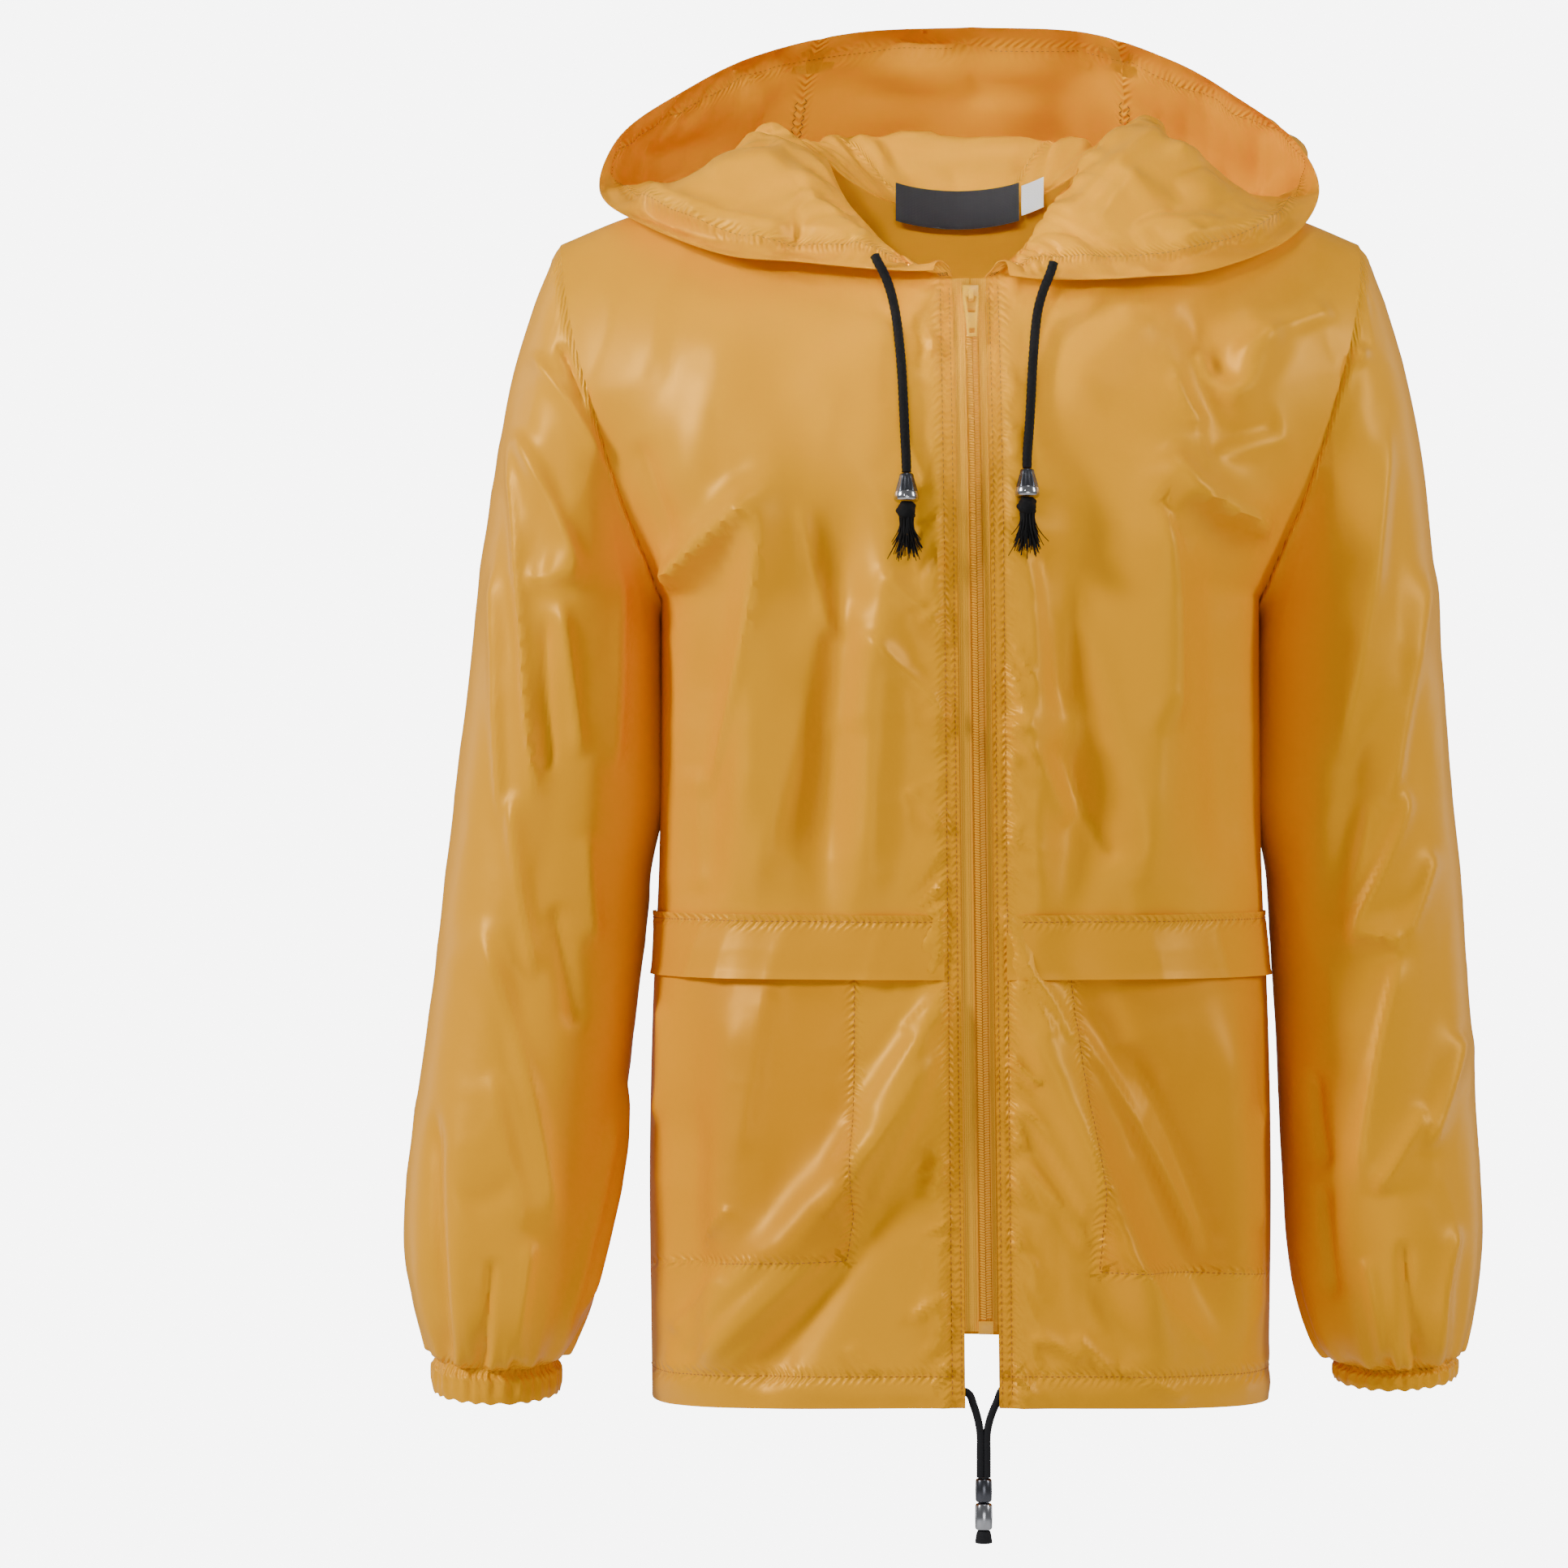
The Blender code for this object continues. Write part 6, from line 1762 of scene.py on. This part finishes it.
def stitch_shape():
    """A dash of thread along X, with its top towards Z: a small ball drawn out."""
    nothing_selected()
    bpy.ops.mesh.primitive_uv_sphere_add(segments=5, ring_count=4, radius=0.5, rotation=(0, math.pi / 2, 0))
    ball = bpy.context.object
    bpy.ops.object.transform_apply(location=False, rotation=True, scale=False)
    points = np.array([v.co for v in ball.data.vertices])
    faces = [tuple(p.vertices) for p in ball.data.polygons]
    mesh = ball.data
    bpy.data.objects.remove(ball)
    bpy.data.meshes.remove(mesh)
    return points, faces


dash_points, dash_faces = stitch_shape()
print("one stitch has", len(dash_faces), "faces")


def sewn(points, outward, length=STITCH_LENGTH, gap=STITCH_GAP, width=THREAD_WIDTH, zigzag=0.0):
    """Dashes along a line of points on the cloth, standing a little out of it."""
    step = np.linalg.norm(np.diff(points, axis=0), axis=1)
    at = np.concatenate([[0], np.cumsum(step)])
    starts = np.arange(length, at[-1] - length, length + gap)
    parts = []
    for i, place in enumerate(starts):
        ends = [read_line(at, points, place + half) for half in (-length / 2, length / 2)]
        up = unit(read_line(at, outward, place))
        along = unit(ends[1] - ends[0])
        across = np.cross(up, along)
        if zigzag:
            along = unit(along + across * (zigzag if i % 2 else -zigzag))
            across = np.cross(up, along)
        shape = dash_points * np.array([length, width, width])
        middle = (ends[0] + ends[1]) / 2 + up * width * 0.2
        spots = middle + shape[:, :1] * along + shape[:, 1:2] * across + shape[:, 2:] * up
        parts.append((spots, dash_faces))
    return parts


def sampled(values, rows, columns):
    """A grid's values read between its points."""
    rows = np.clip(rows, 0, values.shape[0] - 1.001)
    columns = np.clip(columns, 0, values.shape[1] - 1.001)
    i, j = rows.astype(int), columns.astype(int)
    u, v = (rows - i)[:, None], (columns - j)[:, None]
    low = values[i, j] * (1 - v) + values[i, j + 1] * v
    high = values[i + 1, j] * (1 - v) + values[i + 1, j + 1] * v
    return low * (1 - u) + high * u


def sewn_on(grid, outward, rows, columns, **dash):
    """Dashes along the points of a grid at rows and columns, either of which may be one number."""
    rows, columns = np.broadcast_arrays(rows, columns)
    return sewn(sampled(grid, rows, columns), sampled(outward, rows, columns), **dash)


def stitched_object(name, parts, finish=SHADED_THREAD):
    """All the dashes of a piece as one object."""
    made = new_object(name, *joined_parts(parts), finish)
    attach(made, "garment")
    print(name, len(parts), "stitches")
    return made


# %% Stitches of the fronts and flaps
def find(panel, side, x, z):
    """Row and column of the point of a front that the camera sees at x, z."""
    sx, sz = seen(panel["base"])
    rows, columns = np.arange(sx.shape[0]), np.arange(sx.shape[1])
    found = []
    for x1, z1 in zip(x, z):
        across = np.array([np.interp(x1 * side, side * row, columns) for row in sx])
        heights = np.array([np.interp(c, columns, row) for c, row in zip(across, sz)])
        row = np.interp(z1, heights, rows)
        found.append((row, np.interp(row, rows, across)))
    return np.array(found).T


def hem_row(heights):
    """The row at which the hem's stitching runs."""
    return np.interp(HEM_TOP_Z, heights, np.arange(len(heights)))


for side, name in FRONT_OF.items():
    panel = fronts[side]
    grid, outward, edge = panel["grid"], -panel["inward"], panel["edge"]
    rows = np.arange(3.0, grid.shape[0] - 3)
    parts = []
    for distance in ZIP_STITCH:
        columns = np.array([np.interp(distance, edge[int(r)], np.arange(edge.shape[1])) for r in rows])
        parts += sewn_on(grid, outward, rows, columns)
    parts += sewn_on(grid, outward, hem_row(LOW_HEIGHTS), np.arange(2.0, grid.shape[1] - 2))
    pocket = POCKET[side]
    outline_x = [*pocket["x"], pocket["outer"][0]]
    outline_z = [*pocket["z"], pocket["outer"][1]]
    line = spaced(np.array([outline_x, outline_z], float).T, np.linspace(0, 1, 90))
    parts += sewn_on(grid, outward, *find(panel, side, line[:, 0], line[:, 1]))
    stitched_object(name + "_stitches", parts)

for side, name in ((1, "flap_left"), (-1, "flap_right")):
    grid, inward, base, marks = flaps[side]
    row = np.interp(FLAP_TOP_Z - FLAP_STITCH, base[:, 0, 2], np.arange(len(base)))
    parts = sewn_on(grid, -inward, row, np.arange(1.0, grid.shape[1] - 1))
    stitched_object(name + "_stitches", parts)

# %% Stitches of the back and the hood
columns = np.arange(2.0, back_grid.shape[1] - 2)
stitched_object("back_stitches", sewn_on(back_grid, -back_inward, hem_row(BACK_HEIGHTS), columns))


def towards_eye(points, outward):
    """The points of the cloth's face that the camera sees, and the ways out of that face."""
    to_eye = unit(np.array(EYE) - points)
    sign = np.where((outward * to_eye).sum(axis=1) > 0, 1.0, -1.0)[:, None]
    lifted = np.where(sign > 0, points, points - outward * SHELL)
    return lifted, outward * sign


for side, name in ((1, "hood_left"), (-1, "hood_right")):
    grid, outward, from_rim = (hoods[side][key] for key in ("grid", "outward", "from_rim"))
    columns = np.arange(4.0, grid.shape[1] - 1)
    every_row = np.arange(len(HOOD_SPREAD))
    rows = np.array([np.interp(-CASING, -from_rim[:, int(c)], every_row) for c in columns])
    spots, ways = sampled(grid, rows, columns), sampled(outward, rows, columns)
    parts = sewn(*towards_eye(spots, ways), length=1.9, gap=1.3)
    stitched_object(name + "_stitches", parts)
    ladder = []
    for low, high, sign in ((0.62, 0.93, -1.0), (0.02, 0.14, 1.0)):
        rows = np.arange(low, high, 0.006) * (len(HOOD_SPREAD) - 1)
        for offset in (-0.9, 0.3):
            columns = np.full_like(rows, cut + offset)
            spots, ways = sampled(grid, rows, columns), sampled(outward, rows, columns) * sign
            spots = spots + ways * (SHELL if sign < 0 else 0)
            ladder += sewn(spots, ways, length=3.2, gap=-0.6, width=0.6, zigzag=0.9)
    # two rows hold the neck seam down
    columns = np.arange(round(cut * 0.62), grid.shape[1] - 1.0)
    for row in (2.2, 5.2):
        ladder += sewn_on(grid, outward, row, columns)
    # the overlocked end of the seam allowance shows beside the zip's top
    columns = np.arange(0.6, 6.5, 0.25)
    for row in (2.0, 4.0, 6.0):
        rows = np.full_like(columns, row)
        spots, ways = sampled(grid, rows, columns), sampled(outward, rows, columns)
        ladder += sewn(*towards_eye(spots, ways), length=1.6, gap=-0.3, width=0.45, zigzag=0.8)
    stitched_object(name + "_overlock", ladder, SHADED_OVERLOCK_THREAD)

# %% [markdown]
# ## Last update
# The scene is brought up to date. The dressed coat has to stay within the solid model's box, apart
# from a little that cloth may stand proud.

# %% Bring the scene up to date
bpy.context.view_layer.update()
